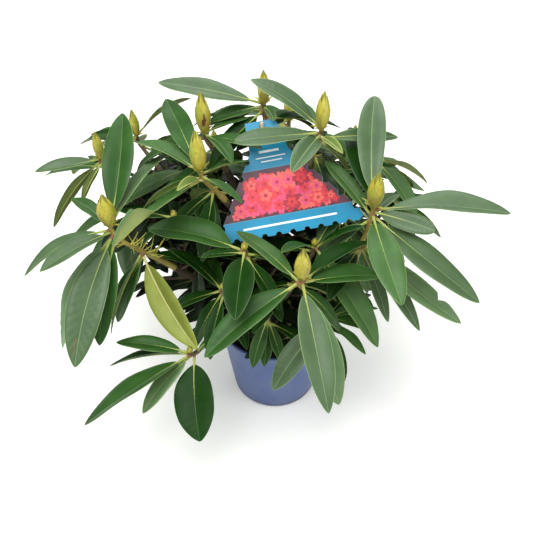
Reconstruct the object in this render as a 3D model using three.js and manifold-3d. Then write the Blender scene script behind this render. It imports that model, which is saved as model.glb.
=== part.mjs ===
// A rhododendron in bud, growing in a plain round nursery pot, with a flared label card on a thin stick.
// Millimetres, +Z up. The origin is the middle of the pot's flat underside and -Y is the plant's front.

import * as THREE from 'three';
import { mergeVertices } from 'three/addons/utils/BufferGeometryUtils.js';
import Module from 'manifold-3d';

const wasm = await Module();
wasm.setup();

// Driving dimensions
const POT = {
  rimRadius: 75, baseRadius: 57, height: 125, wall: 2.2, floor: 4, footRound: 7, lip: 1.6, lipDepth: 7,
  notches: 6, notchWidth: 15, notchHeight: 2.6, notchDepth: 12, sides: 40,
};
const SOIL = { top: 110, sides: 32 };
const CLEAR = 0.3; // gap between neighbouring solids

const TRUNK = { foot: [0, 0], head: [5, 4], height: 82, flare: 18, girth: 12, tip: 9.5, sides: 12 };
const BOUGH = { thick: 6, sideThick: 4.8, thin: 3.9, sides: 6, steps: 6, rise: 0.35 };
const STEM = { length: 55, thick: 3.8, thin: 3.2, sides: 6, tilt: 50, openReach: 120 };
const BUD = { length: 46, radius: 8.4, sides: 6, upright: 2400 };

const LEAF = {
  petiole: 0.13, petioleHalf: 1.7, slimness: 0.272, thickness: 2, petioleThickness: 3,
  stations: [0, 0.13, 0.36, 0.66, 0.9], baseTaper: 0.68, tipTaper: 0.72,
  arch: [0.03, 0.09], fold: [0.04, 0.14], roll: 14, step: 2.3, breadth: [0.92, 1.1],
};
const ROOM = { lift: 1.5, width: 2 }; // how far the space a leaf needs reaches past it

const CARD = {
  base: 180, shoulder: 44, head: 35, shoulderHeight: 96, height: 130.5, slant: 0.115, thickness: 0.9,
  notch: 3.6, notches: 11, sideNotches: 5, slotWidth: 5.4, slotLength: 9.5, slotDrop: 9,
  top: [-17, 27, 403], tilt: 38, turn: 10.4,
};
const STICK = { radius: 2, buried: 55, above: 9 };

// Shoots: where each tip is, the limb it springs from and how far up it, and its whorls of leaves.
// A leaf is [heading, pitch, length, roll, breadth]. Heading turns from +X to +Y, pitch rises from level.
// Where leaves is a number, that many are set round the stem by rule.
// Bud is the size of the tip's bud, and plump widens it.
const SHOOTS = [
  { name: 'front', tip: [26, -120, 308], from: ['trunk', 0.84], bud: 0.95, plump: 1.06, leaves: [
    [280, -22, 148, 0, 0.86], [213, -21, 132], [298, -51, 143], [18, -10, 100], [37, 3, 106, -30],
    [137, 4, 99, 25], [95, -34, 90]],
    lower: { down: 36, leaves: [[198, -50, 82], [345, -56, 82], [150, -38, 84], [30, -44, 84]] } },
  { name: 'right', tip: [108, -40, 345], from: ['trunk', 0.66], bud: 1, plump: 1.1,
    stem: 95, tilt: 80, leaves: [
    [86, 28, 145, 0, 0.88], [100, 18, 120], [350, 6, 149], [330, 2, 74, 25, 1.05], [279, -10, 128],
    [320, -18, 153], [134, 12, 84], [54, -5, 66], [172, -24, 92]],
    lower: { down: 58, leaves: [
      [321, -18, 146, 0, 0.8], [308, -30, 121, 30, 0.6], [298, -44, 96, 0, 0.7], [30, -6, 88], [240, -20, 84],
      [200, -34, 95]] } },
  { name: 'left', tip: [-190, -45, 322], from: ['trunk', 0.77], bud: 0.95, plump: 1.3, stem: 105, leaves: [
    [87, 32, 142, 0, 0.88], [57, 18, 125, -30, 0.8], [142, 12, 66], [212, -10, 109], [227, 2, 98],
    [253, -36, 158, 0, 0.9], [226, -50, 152], [258, -46, 128]],
    lower: { down: 57, leaves: [
      [310, -40, 134, 172, 0.98], [244, -38, 104, 50], [226, -48, 96], [20, -44, 90]] } },
  { name: 'middle', tip: [-85, -32, 388], from: ['leader', 0.5], bud: 1.1, leaves: [
    [112, 11, 126, 0, 0.78], [148, 6, 90], [24, 2, 58, -30], [326, -14, 56], [208, -14, 74, 35],
    [226, -10, 130, 25], [232, 14, 44]],
    lower: { down: 34, leaves: [[248, -62, 86], [186, -48, 92], [120, -40, 88], [40, -46, 88]] } },
  { name: 'top_right', tip: [49, 8, 416], from: ['leader', 0.72], bud: 1, leaves: [
    [160, 29, 95], [118, -4, 108], [190, 0, 97], [247, 4, 88], [292, 12, 56, 0, 0.8],
    [37, -20, 138, 30, 0.55], [30, -28, 70], [62, -42, 100], [92, -36, 105]],
    lower: { down: 34, leaves: [[352, -62, 84], [84, -48, 92]] } },
  { name: 'top', tip: [-15, 60, 418], from: ['leader', 1], bud: 0.9, leaves: [
    [178, 12, 123], [196, -8, 66], [286, 8, 40], [212, -20, 95], [150, -26, 115], [118, -34, 115],
    [82, -36, 110], [48, -32, 110], [16, -24, 100]],
    lower: { down: 36, leaves: 3 } },
  { name: 'top_left', tip: [-83, 30, 398], from: ['leader', 0.36], bud: 1.1, leaves: [
    [20, 18, 54], [300, -8, 66], [336, -22, 72], [170, -30, 100], [140, -28, 108], [112, -34, 108],
    [78, -36, 104], [44, -30, 96]],
    lower: { down: 36, leaves: [[196, -34, 100], [76, -36, 104], [104, -50, 92]] } },
  { name: 'left_back', tip: [-217, 70, 336], from: ['bough_left', 0.5], bud: 0.8, leaves: [
    [200, 0, 81], [229, -32, 102, 78], [236, -38, 58, 80], [110, -32, 95], [84, -34, 100],
    [135, -32, 100], [160, -28, 105], [60, -36, 96]] },
  { name: 'low_left', tip: [-102, -120, 189], from: ['trunk', 0.63], bud: 0.25, tilt: 8, leaves: [
    [174, 6, 89], [188, -3, 96, 38], [213, -13, 146, 34], [226, -24, 90], [276, -26, 104, 0, 1.75],
    [36, 20, 36]] },
  { name: 'inner_left', tip: [-36, -86, 320], from: ['bough_front', 0.5], bud: 0.25, leaves: [
    [265, -10, 92, 0, 1.35], [164, 4, 114, 0, 1.35], [196, 8, 50], [10, -12, 60], [310, -34, 72],
    [120, -30, 80]],
    lower: { down: 32, leaves: [[300, -50, 80], [60, -36, 90], [128, -30, 92], [98, -20, 90]] } },
  { name: 'inner_low', tip: [-64, -66, 240], from: ['bough_left', 0.24], bud: 0.25, leaves: [
    [168, -26, 92], [216, -64, 84], [150, 2, 84], [256, -44, 80], [110, -16, 84], [300, -40, 70]] },
  { name: 'inner_right', tip: [44, -44, 290], from: ['leader', 0.2], bud: 0.25, leaves: [
    [311, -28, 138], [232, 30, 74], [350, 30, 70], [36, 28, 76], [150, -18, 84]] },
  { name: 'mid_left', tip: [-122, -6, 302], from: ['leader', 0.14], bud: 0.25, leaves: [
    [152, -10, 90], [194, -42, 86], [104, -22, 95], [62, -28, 90]] },
  { name: 'mid_right', tip: [84, 24, 300], from: ['leader', 0.3], bud: 0.25, leaves: 8 },
  { name: 'low_right', tip: [58, -100, 230], from: ['trunk', 0.53], bud: 0.25, leaves: [
    [8, -28, 74], [22, -16, 70], [226, -30, 103], [328, -26, 62], [290, -56, 92], [60, -10, 80]] },
  { name: 'low_front', tip: [-10, -88, 216], from: ['trunk', 0.4], bud: 0.25, leaves: [
    [247, -40, 62], [262, -52, 58], [293, -46, 52], [204, -18, 62], [180, -30, 80], [345, -30, 64]] },
  { name: 'right_back', tip: [128, 96, 318], from: ['trunk', 0.83], bud: 0.6, leaves: [
    [346, -20, 74, -50], [312, -50, 92], [64, -34, 112], [98, -32, 108], [34, -40, 104], [140, -24, 98],
    [172, -36, 92]] },
  { name: 'side_right', tip: [150, 92, 250], from: ['bough_right_back', 0.42], bud: 0.25, leaves: [
    [356, -34, 96], [24, -28, 112], [52, -24, 118], [84, -30, 114], [330, -48, 96], [120, -34, 98],
    [300, -58, 84]] },
  { name: 'back_left', tip: [-180, 122, 336], from: ['trunk', 0.6], bud: 0.8, leaves: [
    [46, 10, 96, -54], [172, 0, 62], [100, -34, 108], [130, -30, 112], [152, -26, 108], [72, -36, 102],
    [20, -40, 92]] },
  { name: 'inner_back', tip: [-105, 78, 318], from: ['bough_back_left', 0.5], bud: 0.25, leaves: 8 },
  { name: 'back', tip: [18, 160, 336], from: ['trunk', 0.68], bud: 0.9, leaves: 11 },
  { name: 'back_right', tip: [108, 176, 276], from: ['bough_back', 0.5], bud: 0.9, leaves: 10 },
  { name: 'back_low', tip: [-84, 186, 262], from: ['bough_back', 0.38], bud: 0.9, leaves: 10 },
  { name: 'side_left', tip: [-200, 122, 226], from: ['bough_back_left', 0.32], bud: 0.8, leaves: 9 },
];

// Finishes
const FINISH = {
  leaf: { color: 0x3f6b3a, roughness: 0.45 },
  bark: { color: 0x6d5136, roughness: 0.9 },
  pot: { color: 0x5f6da3, roughness: 0.5 },
  soil: { color: 0x1d1714, roughness: 1 },
  card: { color: 0x2f9fca, roughness: 0.4 },
  stick: { color: 0xd9b994, roughness: 0.8 },
};

const UP = new THREE.Vector3(0, 0, 1);
const vec = (xyz) => new THREE.Vector3(...xyz);
const vec2 = (xy) => new THREE.Vector2(...xy);
const rad = THREE.MathUtils.degToRad;
const mix = (range, share) => range[0] + (range[1] - range[0]) * share;

// A plain repeatable stream of numbers from 0 to 1
function seeded(seed) {
  let state = Math.imul(seed, 2654435761) >>> 0;
  return () => {
    state = (Math.imul(state, 1664525) + 1013904223) >>> 0;
    return state / 4294967296;
  };
}

function headingVector(heading, pitch) {
  const level = Math.cos(rad(pitch));
  const [east, north] = [Math.cos(rad(heading)), Math.sin(rad(heading))];
  return new THREE.Vector3(level * east, level * north, Math.sin(rad(pitch)));
}

// Solids and geometries

function toSolid(geometry) {
  const bare = new THREE.BufferGeometry();
  bare.setAttribute('position', geometry.getAttribute('position'));
  bare.setIndex(geometry.index);
  const merged = mergeVertices(bare, 1e-4);
  return new wasm.Manifold(new wasm.Mesh({
    numProp: 3,
    vertProperties: merged.getAttribute('position').array,
    triVerts: new Uint32Array(merged.index.array),
  }));
}

function toGeometry(solid) {
  const { vertProperties, triVerts } = solid.getMesh();
  const geometry = new THREE.BufferGeometry();
  geometry.setAttribute('position', new THREE.BufferAttribute(vertProperties, 3));
  geometry.setIndex(new THREE.BufferAttribute(triVerts, 1));
  geometry.computeVertexNormals();
  return geometry;
}

const mainBody = (solid) => solid.decompose()
  .reduce((best, body) => (body.volume() > best.volume() ? body : best));

// Skin over rings of points that share one count. A ring of one point closes that end to a tip.
function loft(rings) {
  const points = rings.flat();
  const starts = rings.map((_, i) => rings.slice(0, i).reduce((sum, ring) => sum + ring.length, 0));
  const faces = [];
  const capFan = (start, count, flip) => {
    for (let k = 1; k < count - 1; k++) {
      const [b, c] = flip ? [k + 1, k] : [k, k + 1];
      faces.push(start, start + b, start + c);
    }
  };
  const pair = (i, k, next) => {
    const closed = rings[i].length === 1;
    return closed ? [starts[i], starts[i]] : [starts[i] + k, starts[i] + next];
  };
  for (let i = 0; i < rings.length - 1; i++) {
    const count = Math.max(rings[i].length, rings[i + 1].length);
    for (let k = 0; k < count; k++) {
      const next = (k + 1) % count;
      const [a, b] = pair(i, k, next);
      const [c, d] = pair(i + 1, k, next);
      if (a !== b) faces.push(a, b, d);
      if (c !== d) faces.push(a, d, c);
    }
  }
  capFan(starts[0], rings[0].length, true);
  capFan(starts.at(-1), rings.at(-1).length, false);
  const geometry = new THREE.BufferGeometry().setFromPoints(points);
  geometry.setIndex(faces);
  return geometry;
}

// Tapering round limb along a curve
function limbGeometry(curve, radiusAt, sides, steps) {
  const { normals, binormals } = curve.computeFrenetFrames(steps, false);
  const rings = Array.from({ length: steps + 1 }, (_, i) => {
    const middle = curve.getPointAt(i / steps);
    const radius = radiusAt(i / steps);
    return Array.from({ length: sides }, (_, k) => {
      const turn = (2 * Math.PI * k) / sides;
      return middle.clone()
        .addScaledVector(normals[i], radius * Math.cos(turn))
        .addScaledVector(binormals[i], radius * Math.sin(turn));
    });
  });
  return loft(rings);
}

// Pot, soil and label

// Outer radius of the pot's wall at a height
const wallRadius = (z) => THREE.MathUtils.mapLinear(z, 0, POT.height, POT.baseRadius, POT.rimRadius);

function potSolid() {
  const outline = new THREE.Path();
  const inner = (z) => wallRadius(z) - POT.wall;
  outline.moveTo(0, 0);
  outline.lineTo(POT.baseRadius - POT.footRound, 0);
  outline.quadraticCurveTo(POT.baseRadius, 0, wallRadius(POT.footRound), POT.footRound);
  outline.lineTo(wallRadius(POT.height - POT.lipDepth), POT.height - POT.lipDepth);
  outline.lineTo(POT.rimRadius + POT.lip, POT.height - POT.lipDepth + POT.lip);
  outline.lineTo(POT.rimRadius + POT.lip, POT.height - POT.lip);
  outline.lineTo(POT.rimRadius, POT.height);
  outline.lineTo(inner(POT.height), POT.height);
  outline.lineTo(inner(POT.floor), POT.floor);
  outline.lineTo(0, POT.floor);
  const turned = new THREE.LatheGeometry(outline.getPoints(4), POT.sides).rotateX(Math.PI / 2);
  let pot = toSolid(turned);
  for (let i = 0; i < POT.notches; i++) {
    const notch = new THREE.BoxGeometry(POT.notchDepth, POT.notchWidth, POT.notchHeight * 2)
      .translate(POT.baseRadius, 0, 0)
      .rotateZ(-Math.PI / 2 + (2 * Math.PI * i) / POT.notches);
    pot = pot.subtract(toSolid(notch));
  }
  return pot;
}

function soilSolid() {
  const low = POT.floor + CLEAR;
  const edge = (z) => wallRadius(z) - POT.wall - 2 * CLEAR;
  const outline = [[0, low], [edge(low), low], [edge(SOIL.top), SOIL.top], [0, SOIL.top]];
  const turned = new THREE.LatheGeometry(outline.map(vec2), SOIL.sides).rotateX(Math.PI / 2);
  const boreRadius = STICK.radius + CLEAR / Math.cos(Math.PI / 8);
  const bore = new THREE.CylinderGeometry(boreRadius, boreRadius, STICK.buried * 2 + CLEAR * 2, 8)
    .rotateX(Math.PI / 2).translate(...stickFoot().setZ(SOIL.top));
  return toSolid(turned).subtract(toSolid(bore));
}

// The card hangs by its slot on the tip of a plain upright stick.
const stickFoot = () => new THREE.Vector3(CARD.top[0], CARD.top[1], SOIL.top - STICK.buried);

function stickGeometry() {
  const foot = stickFoot();
  const length = CARD.top[2] + STICK.above - foot.z;
  return new THREE.CylinderGeometry(STICK.radius, STICK.radius, length, 8)
    .rotateX(Math.PI / 2).translate(foot.x, foot.y, foot.z + length / 2);
}

// Flared card with half-round bites along its foot and sides. Its slot's middle is the shape's origin.
function cardSolid() {
  const foot = CARD.slotDrop - CARD.height;
  const shoulder = foot + CARD.shoulderHeight;
  const slanted = ([x, y]) => [x - CARD.slant * y, y];
  const rightSide = [[CARD.base / 2, foot], [CARD.shoulder / 2, shoulder], [CARD.head / 2, CARD.slotDrop]];
  const leftSide = rightSide.map(([x, y]) => [-x, y]).reverse();
  const shape = new THREE.Shape([...rightSide, ...leftSide].map(slanted).map(vec2));
  const sheet = new THREE.ExtrudeGeometry(shape, { depth: CARD.thickness, bevelEnabled: false })
    .translate(0, 0, -CARD.thickness / 2);
  const slot = new THREE.BoxGeometry(CARD.slotWidth, CARD.slotLength, 4 * CARD.thickness);
  const bites = [];
  for (let i = 0; i < CARD.notches; i++) bites.push([CARD.base * ((i + 0.5) / CARD.notches - 0.5), foot]);
  for (let i = 1; i <= CARD.sideNotches; i++) {
    const up = i / (CARD.sideNotches + 0.5);
    const x = mix([CARD.base, CARD.shoulder], up) / 2;
    const y = mix([foot, shoulder], up);
    bites.push([x, y], [-x, y]);
  }
  let card = toSolid(sheet).subtract(toSolid(slot));
  for (const [x, y] of bites.map(slanted)) {
    const bite = new THREE.CylinderGeometry(CARD.notch, CARD.notch, 4 * CARD.thickness, 12)
      .rotateX(Math.PI / 2)
      .translate(x, y, 0);
    card = card.subtract(toSolid(bite));
  }
  return card;
}

// The card faces the front, leaning back, with its right side raised.
function cardPlacement() {
  return new THREE.Matrix4()
    .makeTranslation(...CARD.top)
    .multiply(new THREE.Matrix4().makeRotationX(rad(90 - CARD.tilt)))
    .multiply(new THREE.Matrix4().makeRotationZ(rad(CARD.turn)));
}

// Limbs

// Where a shoot's stem starts: down and in from its tip
function stemStart(shoot) {
  const tip = vec(shoot.tip);
  const openness = Math.min(1, Math.hypot(tip.x, tip.y) / STEM.openReach);
  const level = openness * Math.cos(rad(shoot.tilt ?? STEM.tilt));
  const inward = new THREE.Vector3(tip.x, tip.y, 0).normalize().multiplyScalar(level);
  inward.z = Math.sqrt(1 - level * level);
  return { start: tip.clone().addScaledVector(inward, -(shoot.stem ?? STEM.length)), along: inward };
}

function trunkLimb() {
  const foot = new THREE.Vector3(...TRUNK.foot, SOIL.top + CLEAR);
  const head = new THREE.Vector3(...TRUNK.head, SOIL.top + TRUNK.height);
  const curve = new THREE.QuadraticBezierCurve3(foot, foot.clone().setZ((foot.z + head.z) / 2), head);
  const taper = (t) => THREE.MathUtils.lerp(TRUNK.girth, TRUNK.tip, t);
  const radiusAt = (t) => taper(t) + (TRUNK.flare - TRUNK.girth) * (1 - t) ** 8;
  return { name: 'trunk', curve, radiusAt, sides: TRUNK.sides, steps: 9 };
}

// A bough runs from the middle of the limb that bears it to the start of a shoot's stem.
function boughLimb(name, bearer, share, end, endAlong, thick) {
  const start = bearer.curve.getPointAt(share);
  const span = start.distanceTo(end);
  const out = end.clone().sub(start).setZ(0).normalize().setZ(BOUGH.rise).normalize();
  const curve = new THREE.CubicBezierCurve3(
    start,
    start.clone().addScaledVector(out, span * 0.4),
    end.clone().addScaledVector(endAlong, -span * 0.35),
    end,
  );
  const radiusAt = (t) => THREE.MathUtils.lerp(thick, BOUGH.thin, t);
  return { name, curve, radiusAt, sides: BOUGH.sides, steps: BOUGH.steps, bearer };
}

// The leader carries the top shoots on from the trunk's tip.
function leaderLimb(trunk, top) {
  const { start, along } = stemStart(top);
  const lead = trunk.curve.getTangentAt(1);
  const foot = trunk.curve.getPointAt(1).addScaledVector(lead, CLEAR);
  const span = foot.distanceTo(start);
  const curve = new THREE.CubicBezierCurve3(
    foot,
    foot.clone().addScaledVector(lead, span * 0.4),
    start.clone().addScaledVector(along, -span * 0.35),
    start,
  );
  const radiusAt = (t) => THREE.MathUtils.lerp(TRUNK.tip - 1.5, BOUGH.thin, t);
  return { name: 'leader', curve, radiusAt, sides: BOUGH.sides, steps: BOUGH.steps + 2 };
}

function allLimbs() {
  const trunk = trunkLimb();
  const limbs = { trunk, leader: leaderLimb(trunk, SHOOTS.find((s) => s.name === 'top')) };
  for (const shoot of SHOOTS.filter((s) => s.from[1] < 1)) {
    const { start, along } = stemStart(shoot);
    const [bearer, share] = shoot.from;
    const name = `bough_${shoot.name}`;
    const thick = bearer === 'trunk' ? BOUGH.thick : BOUGH.sideThick;
    limbs[name] = boughLimb(name, limbs[bearer], share, start, along, thick);
  }
  return limbs;
}

function limbSolid(limb, extra = 0) {
  return toSolid(limbGeometry(limb.curve, (t) => limb.radiusAt(t) + extra, limb.sides, limb.steps));
}

// Leaves

const halfWidthAt = (s, width) => {
  const u = (s - LEAF.petiole) / (1 - LEAF.petiole);
  const taper = (at) => at ** LEAF.baseTaper * (1 - at) ** LEAF.tipTaper;
  const blade = u > 0 ? taper(u) / taper(LEAF.baseTaper / (LEAF.baseTaper + LEAF.tipTaper)) : 0;
  return Math.max(LEAF.petioleHalf, (blade * width) / 2);
};

// A place on a leaf: its share of the length, the offset across and the lift off the arched middle line
const onLeaf = (leaf, s, across, lift) => leaf.base.clone()
  .addScaledVector(leaf.along, leaf.length * s)
  .addScaledVector(leaf.face, leaf.length * leaf.arch * 4 * s * (1 - s) + lift)
  .addScaledVector(leaf.side, across);

// Sizes of a leaf's section: half its width, the height of its edges and the depth of its midrib below
function leafSection(leaf, s) {
  const half = halfWidthAt(s, leaf.width);
  if (s <= LEAF.petiole) {
    return { half, raised: LEAF.petioleThickness / 3, keel: LEAF.petioleThickness / 2 };
  }
  return { half, raised: leaf.fold * half, keel: LEAF.thickness / 2 };
}

// Rings of a leaf from its stalk to its tip. Each ring is two edges and the keel of the midrib.
function leafRings(leaf) {
  const rings = LEAF.stations.map((s) => {
    const { half, raised, keel } = leafSection(leaf, s);
    return [onLeaf(leaf, s, -half, raised), onLeaf(leaf, s, half, raised), onLeaf(leaf, s, 0, -keel)];
  });
  return [...rings, [onLeaf(leaf, 1, 0, 0)]];
}

// Rings round the space a leaf needs to itself
function roomRings(leaf) {
  const rings = LEAF.stations.map((s) => {
    const { half, raised, keel } = leafSection(leaf, s);
    const [across, above, below] = [half + ROOM.width, raised + ROOM.lift, raised - ROOM.lift];
    return [[-across, below], [-across, above], [across, above], [across, below], [0, -keel - ROOM.lift]]
      .map(([x, lift]) => onLeaf(leaf, s, x, lift));
  });
  return [...rings, [onLeaf(leaf, 1 + ROOM.width / leaf.length, 0, 0)]];
}

// Lists a whorl's leaves as [heading, pitch, length, roll, breadth], by rule where a count is given.
function leafList(leaves, shoot, random) {
  if (Array.isArray(leaves)) return leaves;
  const outward = THREE.MathUtils.radToDeg(Math.atan2(shoot.tip[1], shoot.tip[0]));
  return Array.from({ length: leaves }, (_, i) => {
    const turn = (360 * (i + 0.3)) / leaves + 14 * (random() - 0.5);
    const facingOut = Math.cos(rad(turn));
    return [outward + turn, -20 - 12 * facingOut + 20 * (random() - 0.5), 100 + 32 * random()];
  });
}

function leafFrom([heading, pitch, length, roll = 0, breadth = 1], base, draws) {
  const along = headingVector(heading, pitch);
  const face = UP.clone().addScaledVector(along, -UP.dot(along)).normalize()
    .applyAxisAngle(along, rad(roll + LEAF.roll * (2 * draws[0] - 1)));
  return {
    base, along, face, side: along.clone().cross(face), length,
    width: length * LEAF.slimness * breadth * mix(LEAF.breadth, draws[1]),
    arch: mix(LEAF.arch, draws[2]), fold: mix(LEAF.fold, draws[3]),
  };
}

// Room: triangles of what stands already, so that a new leaf can keep clear of it

function trianglesOf(rings) {
  const geometry = loft(rings);
  const at = geometry.getAttribute('position');
  const list = [];
  const corner = (i) => new THREE.Vector3().fromBufferAttribute(at, geometry.index.getX(i));
  for (let i = 0; i < geometry.index.count; i += 3) {
    list.push([corner(i), corner(i + 1), corner(i + 2)]);
  }
  return list;
}

function obstacle(triangles) {
  const boxes = triangles.map((t) => new THREE.Box3().setFromPoints(t));
  const box = boxes.reduce((all, b) => all.union(b), new THREE.Box3());
  return { triangles, boxes, box };
}

// A leaf or limb that stands. Leaves of its own shoot need only keep their blades apart from its blade.
const stander = (whole, shoot = null, blade = whole) => ({ whole, blade, shoot });

function edgeCrosses(from, to, [a, b, c]) {
  const ray = to.clone().sub(from);
  const ab = b.clone().sub(a);
  const ac = c.clone().sub(a);
  const p = ray.clone().cross(ac);
  const det = ab.dot(p);
  if (Math.abs(det) < 1e-9) return false;
  const s = from.clone().sub(a);
  const u = s.dot(p) / det;
  if (u < 0 || u > 1) return false;
  const q = s.cross(ab);
  const v = ray.dot(q) / det;
  if (v < 0 || u + v > 1) return false;
  const t = ac.dot(q) / det;
  return t >= 0 && t <= 1;
}

const trianglesCross = (t1, t2) => [0, 1, 2].some((k) =>
  edgeCrosses(t1[k], t1[(k + 1) % 3], t2) || edgeCrosses(t2[k], t2[(k + 1) % 3], t1));

function touches(one, other) {
  if (!one.box.intersectsBox(other.box)) return false;
  const hits = (t1, box) => other.triangles.some((t2, k) =>
    box.intersectsBox(other.boxes[k]) && trianglesCross(t1, t2));
  return one.triangles.some((t1, i) => one.boxes[i].intersectsBox(other.box) && hits(t1, one.boxes[i]));
}

// A leaf that would touch something turns aside by these steps, and is left out if none is clear.
const TURNS = [0, 9, -9].flatMap((heading) =>
  [0, 8, -8, 16, -16, 24, -24].map((pitch) => [heading, pitch]));

function placeLeaf(wanted, base, draws, shoot, standing) {
  for (const [heading, pitch] of TURNS) {
    const leaf = leafFrom([wanted[0] + heading, wanted[1] + pitch, ...wanted.slice(2)], base, draws);
    const room = roomRings(leaf);
    const blade = obstacle(trianglesOf(room.slice(2)));
    const whole = obstacle(trianglesOf(room));
    const blocked = standing.some((o) =>
      (o.shoot === shoot ? touches(blade, o.blade) : touches(whole, o.whole)));
    if (!blocked) return leaf;
  }
  return null;
}

// Leaves leave the stem from its axis, each a little further down than the one before it.
function growLeaves(shoot, index, stem, standing) {
  const random = seeded(index + 1);
  const whorls = [{ leaves: shoot.leaves, down: 2 }, ...(shoot.lower ? [shoot.lower] : [])];
  const length = stem.curve.getLength();
  const grown = [];
  for (const { leaves, down } of whorls) {
    leafList(leaves, shoot, random).forEach((wanted, i) => {
      const draws = [random(), random(), random(), random()];
      const base = stem.curve.getPointAt(1 - (down + i * LEAF.step) / length);
      const leaf = placeLeaf(wanted, base, draws, shoot.name, standing);
      if (!leaf) return;
      grown.push(leaf);
      const rings = leafRings(leaf);
      const [whole, blade] = [rings, rings.slice(2)].map((part) => obstacle(trianglesOf(part)));
      standing.push(stander(whole, shoot.name, blade));
    });
  }
  return grown;
}

// Shoots

function stemLimb(shoot) {
  const { start, along } = stemStart(shoot);
  const tip = vec(shoot.tip);
  const foot = start.clone().addScaledVector(along, CLEAR);
  const span = foot.distanceTo(tip);
  const curve = new THREE.CubicBezierCurve3(
    foot,
    foot.clone().addScaledVector(along, span * 0.4),
    tip.clone().addScaledVector(UP, -span * 0.3),
    tip,
  );
  const radiusAt = (t) => THREE.MathUtils.lerp(STEM.thick, STEM.thin, t);
  return { name: shoot.name, curve, radiusAt, sides: STEM.sides, steps: 3 };
}

// A pointed flower bud standing on the shoot's tip
function budRings(shoot) {
  const profile = [[-0.06, 0.4], [0.1, 0.8], [0.4, 1], [0.78, 0.5]];
  const tip = vec(shoot.tip);
  const lean = new THREE.Vector3(tip.x, tip.y, BUD.upright).normalize();
  const [sideX, sideY] = [new THREE.Vector3(1, 0, 0), new THREE.Vector3(0, 1, 0)]
    .map((axis) => axis.addScaledVector(lean, -axis.dot(lean)).normalize());
  const length = BUD.length * shoot.bud;
  const radius = Math.max(BUD.radius * shoot.bud * (shoot.plump ?? 1), STEM.thin + 0.8);
  const rings = profile.map(([share, girth]) => Array.from({ length: BUD.sides }, (_, k) => {
    const turn = (2 * Math.PI * k) / BUD.sides;
    return tip.clone().addScaledVector(lean, length * share)
      .addScaledVector(sideX, radius * girth * Math.cos(turn))
      .addScaledVector(sideY, radius * girth * Math.sin(turn));
  }));
  return [...rings, [tip.clone().addScaledVector(lean, length)]];
}

function shootSolid(stem, bud, leaves) {
  const blades = leaves.map((leaf) => toSolid(loft(leafRings(leaf))));
  return wasm.Manifold.union([limbSolid(stem), toSolid(loft(bud)), ...blades]);
}

function triangleSoup(geometry) {
  const flat = geometry.index ? geometry.toNonIndexed() : geometry;
  const at = flat.getAttribute('position');
  return Array.from({ length: at.count / 3 }, (_, i) =>
    [0, 1, 2].map((k) => new THREE.Vector3().fromBufferAttribute(at, 3 * i + k)));
}

// What leaves keep clear of before any leaf is grown
function firstStanding(limbs, stems, buds, card, stick) {
  const skin = (limb) => limbGeometry(limb.curve, (t) => limb.radiusAt(t) + CLEAR, 6, limb.steps);
  const potHull = [[POT.baseRadius, 0], [POT.rimRadius + POT.lip, POT.height], [0, POT.height]];
  const pot = new THREE.LatheGeometry(potHull.map(vec2), 24).rotateX(Math.PI / 2);
  const bare = [...Object.values(limbs).map(skin), pot, card, stick];
  return [
    ...bare.map((g) => stander(obstacle(triangleSoup(g)))),
    ...SHOOTS.map((shoot, i) => stander(obstacle(trianglesOf(buds[i])), shoot.name)),
    ...SHOOTS.map((shoot, i) => stander(obstacle(triangleSoup(skin(stems[i]))), shoot.name)),
  ];
}

// Assembly

const plant = new THREE.Group();

function add(name, geometry, finish) {
  const material = new THREE.MeshStandardMaterial({ ...FINISH[finish], metalness: 0 });
  const mesh = new THREE.Mesh(geometry, material);
  mesh.name = name;
  plant.add(mesh);
}

const limbs = allLimbs();
const stems = SHOOTS.map(stemLimb);
const buds = SHOOTS.map(budRings);
const card = toGeometry(cardSolid()).applyMatrix4(cardPlacement());
const stick = stickGeometry();
const standing = firstStanding(limbs, stems, buds, card, stick);

add('pot', toGeometry(potSolid()), 'pot');
add('soil', toGeometry(soilSolid()), 'soil');
add('label_card', card, 'card');
add('label_stick', stick, 'stick');

for (const limb of Object.values(limbs)) {
  let solid = limbSolid(limb);
  if (limb.bearer) {
    const gap = CLEAR / Math.cos(Math.PI / limb.bearer.sides);
    solid = mainBody(solid.subtract(limbSolid(limb.bearer, gap)));
  }
  add(limb.name, toGeometry(solid), 'bark');
}

SHOOTS.forEach((shoot, i) => {
  const leaves = growLeaves(shoot, i, stems[i], standing);
  add(`shoot_${shoot.name}`, toGeometry(shootSolid(stems[i], buds[i], leaves)), 'leaf');
});

export default plant;
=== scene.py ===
import math

import bmesh
import bpy
import numpy as np
from mathutils import Matrix, Vector, noise
from mathutils.kdtree import KDTree


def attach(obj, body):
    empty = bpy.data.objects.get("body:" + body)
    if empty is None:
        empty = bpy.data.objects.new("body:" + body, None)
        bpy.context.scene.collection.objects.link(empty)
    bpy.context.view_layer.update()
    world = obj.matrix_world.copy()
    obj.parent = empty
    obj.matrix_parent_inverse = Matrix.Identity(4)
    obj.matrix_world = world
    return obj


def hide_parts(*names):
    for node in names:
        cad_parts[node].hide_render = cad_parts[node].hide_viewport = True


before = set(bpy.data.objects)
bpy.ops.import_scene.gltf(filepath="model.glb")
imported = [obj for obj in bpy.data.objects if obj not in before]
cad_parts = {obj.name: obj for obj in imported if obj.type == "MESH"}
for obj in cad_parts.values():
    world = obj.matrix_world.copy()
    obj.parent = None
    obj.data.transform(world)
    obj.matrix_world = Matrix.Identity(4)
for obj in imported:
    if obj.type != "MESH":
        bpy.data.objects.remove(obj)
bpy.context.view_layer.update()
scene = bpy.context.scene
mm = 0.001  # sizes below are in millimetres, the scene is in metres
fullTurn = 2 * math.pi
upward = np.array([0, 0, 1.0])
print("frame loaded,", len(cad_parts), "nodes")


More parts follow.
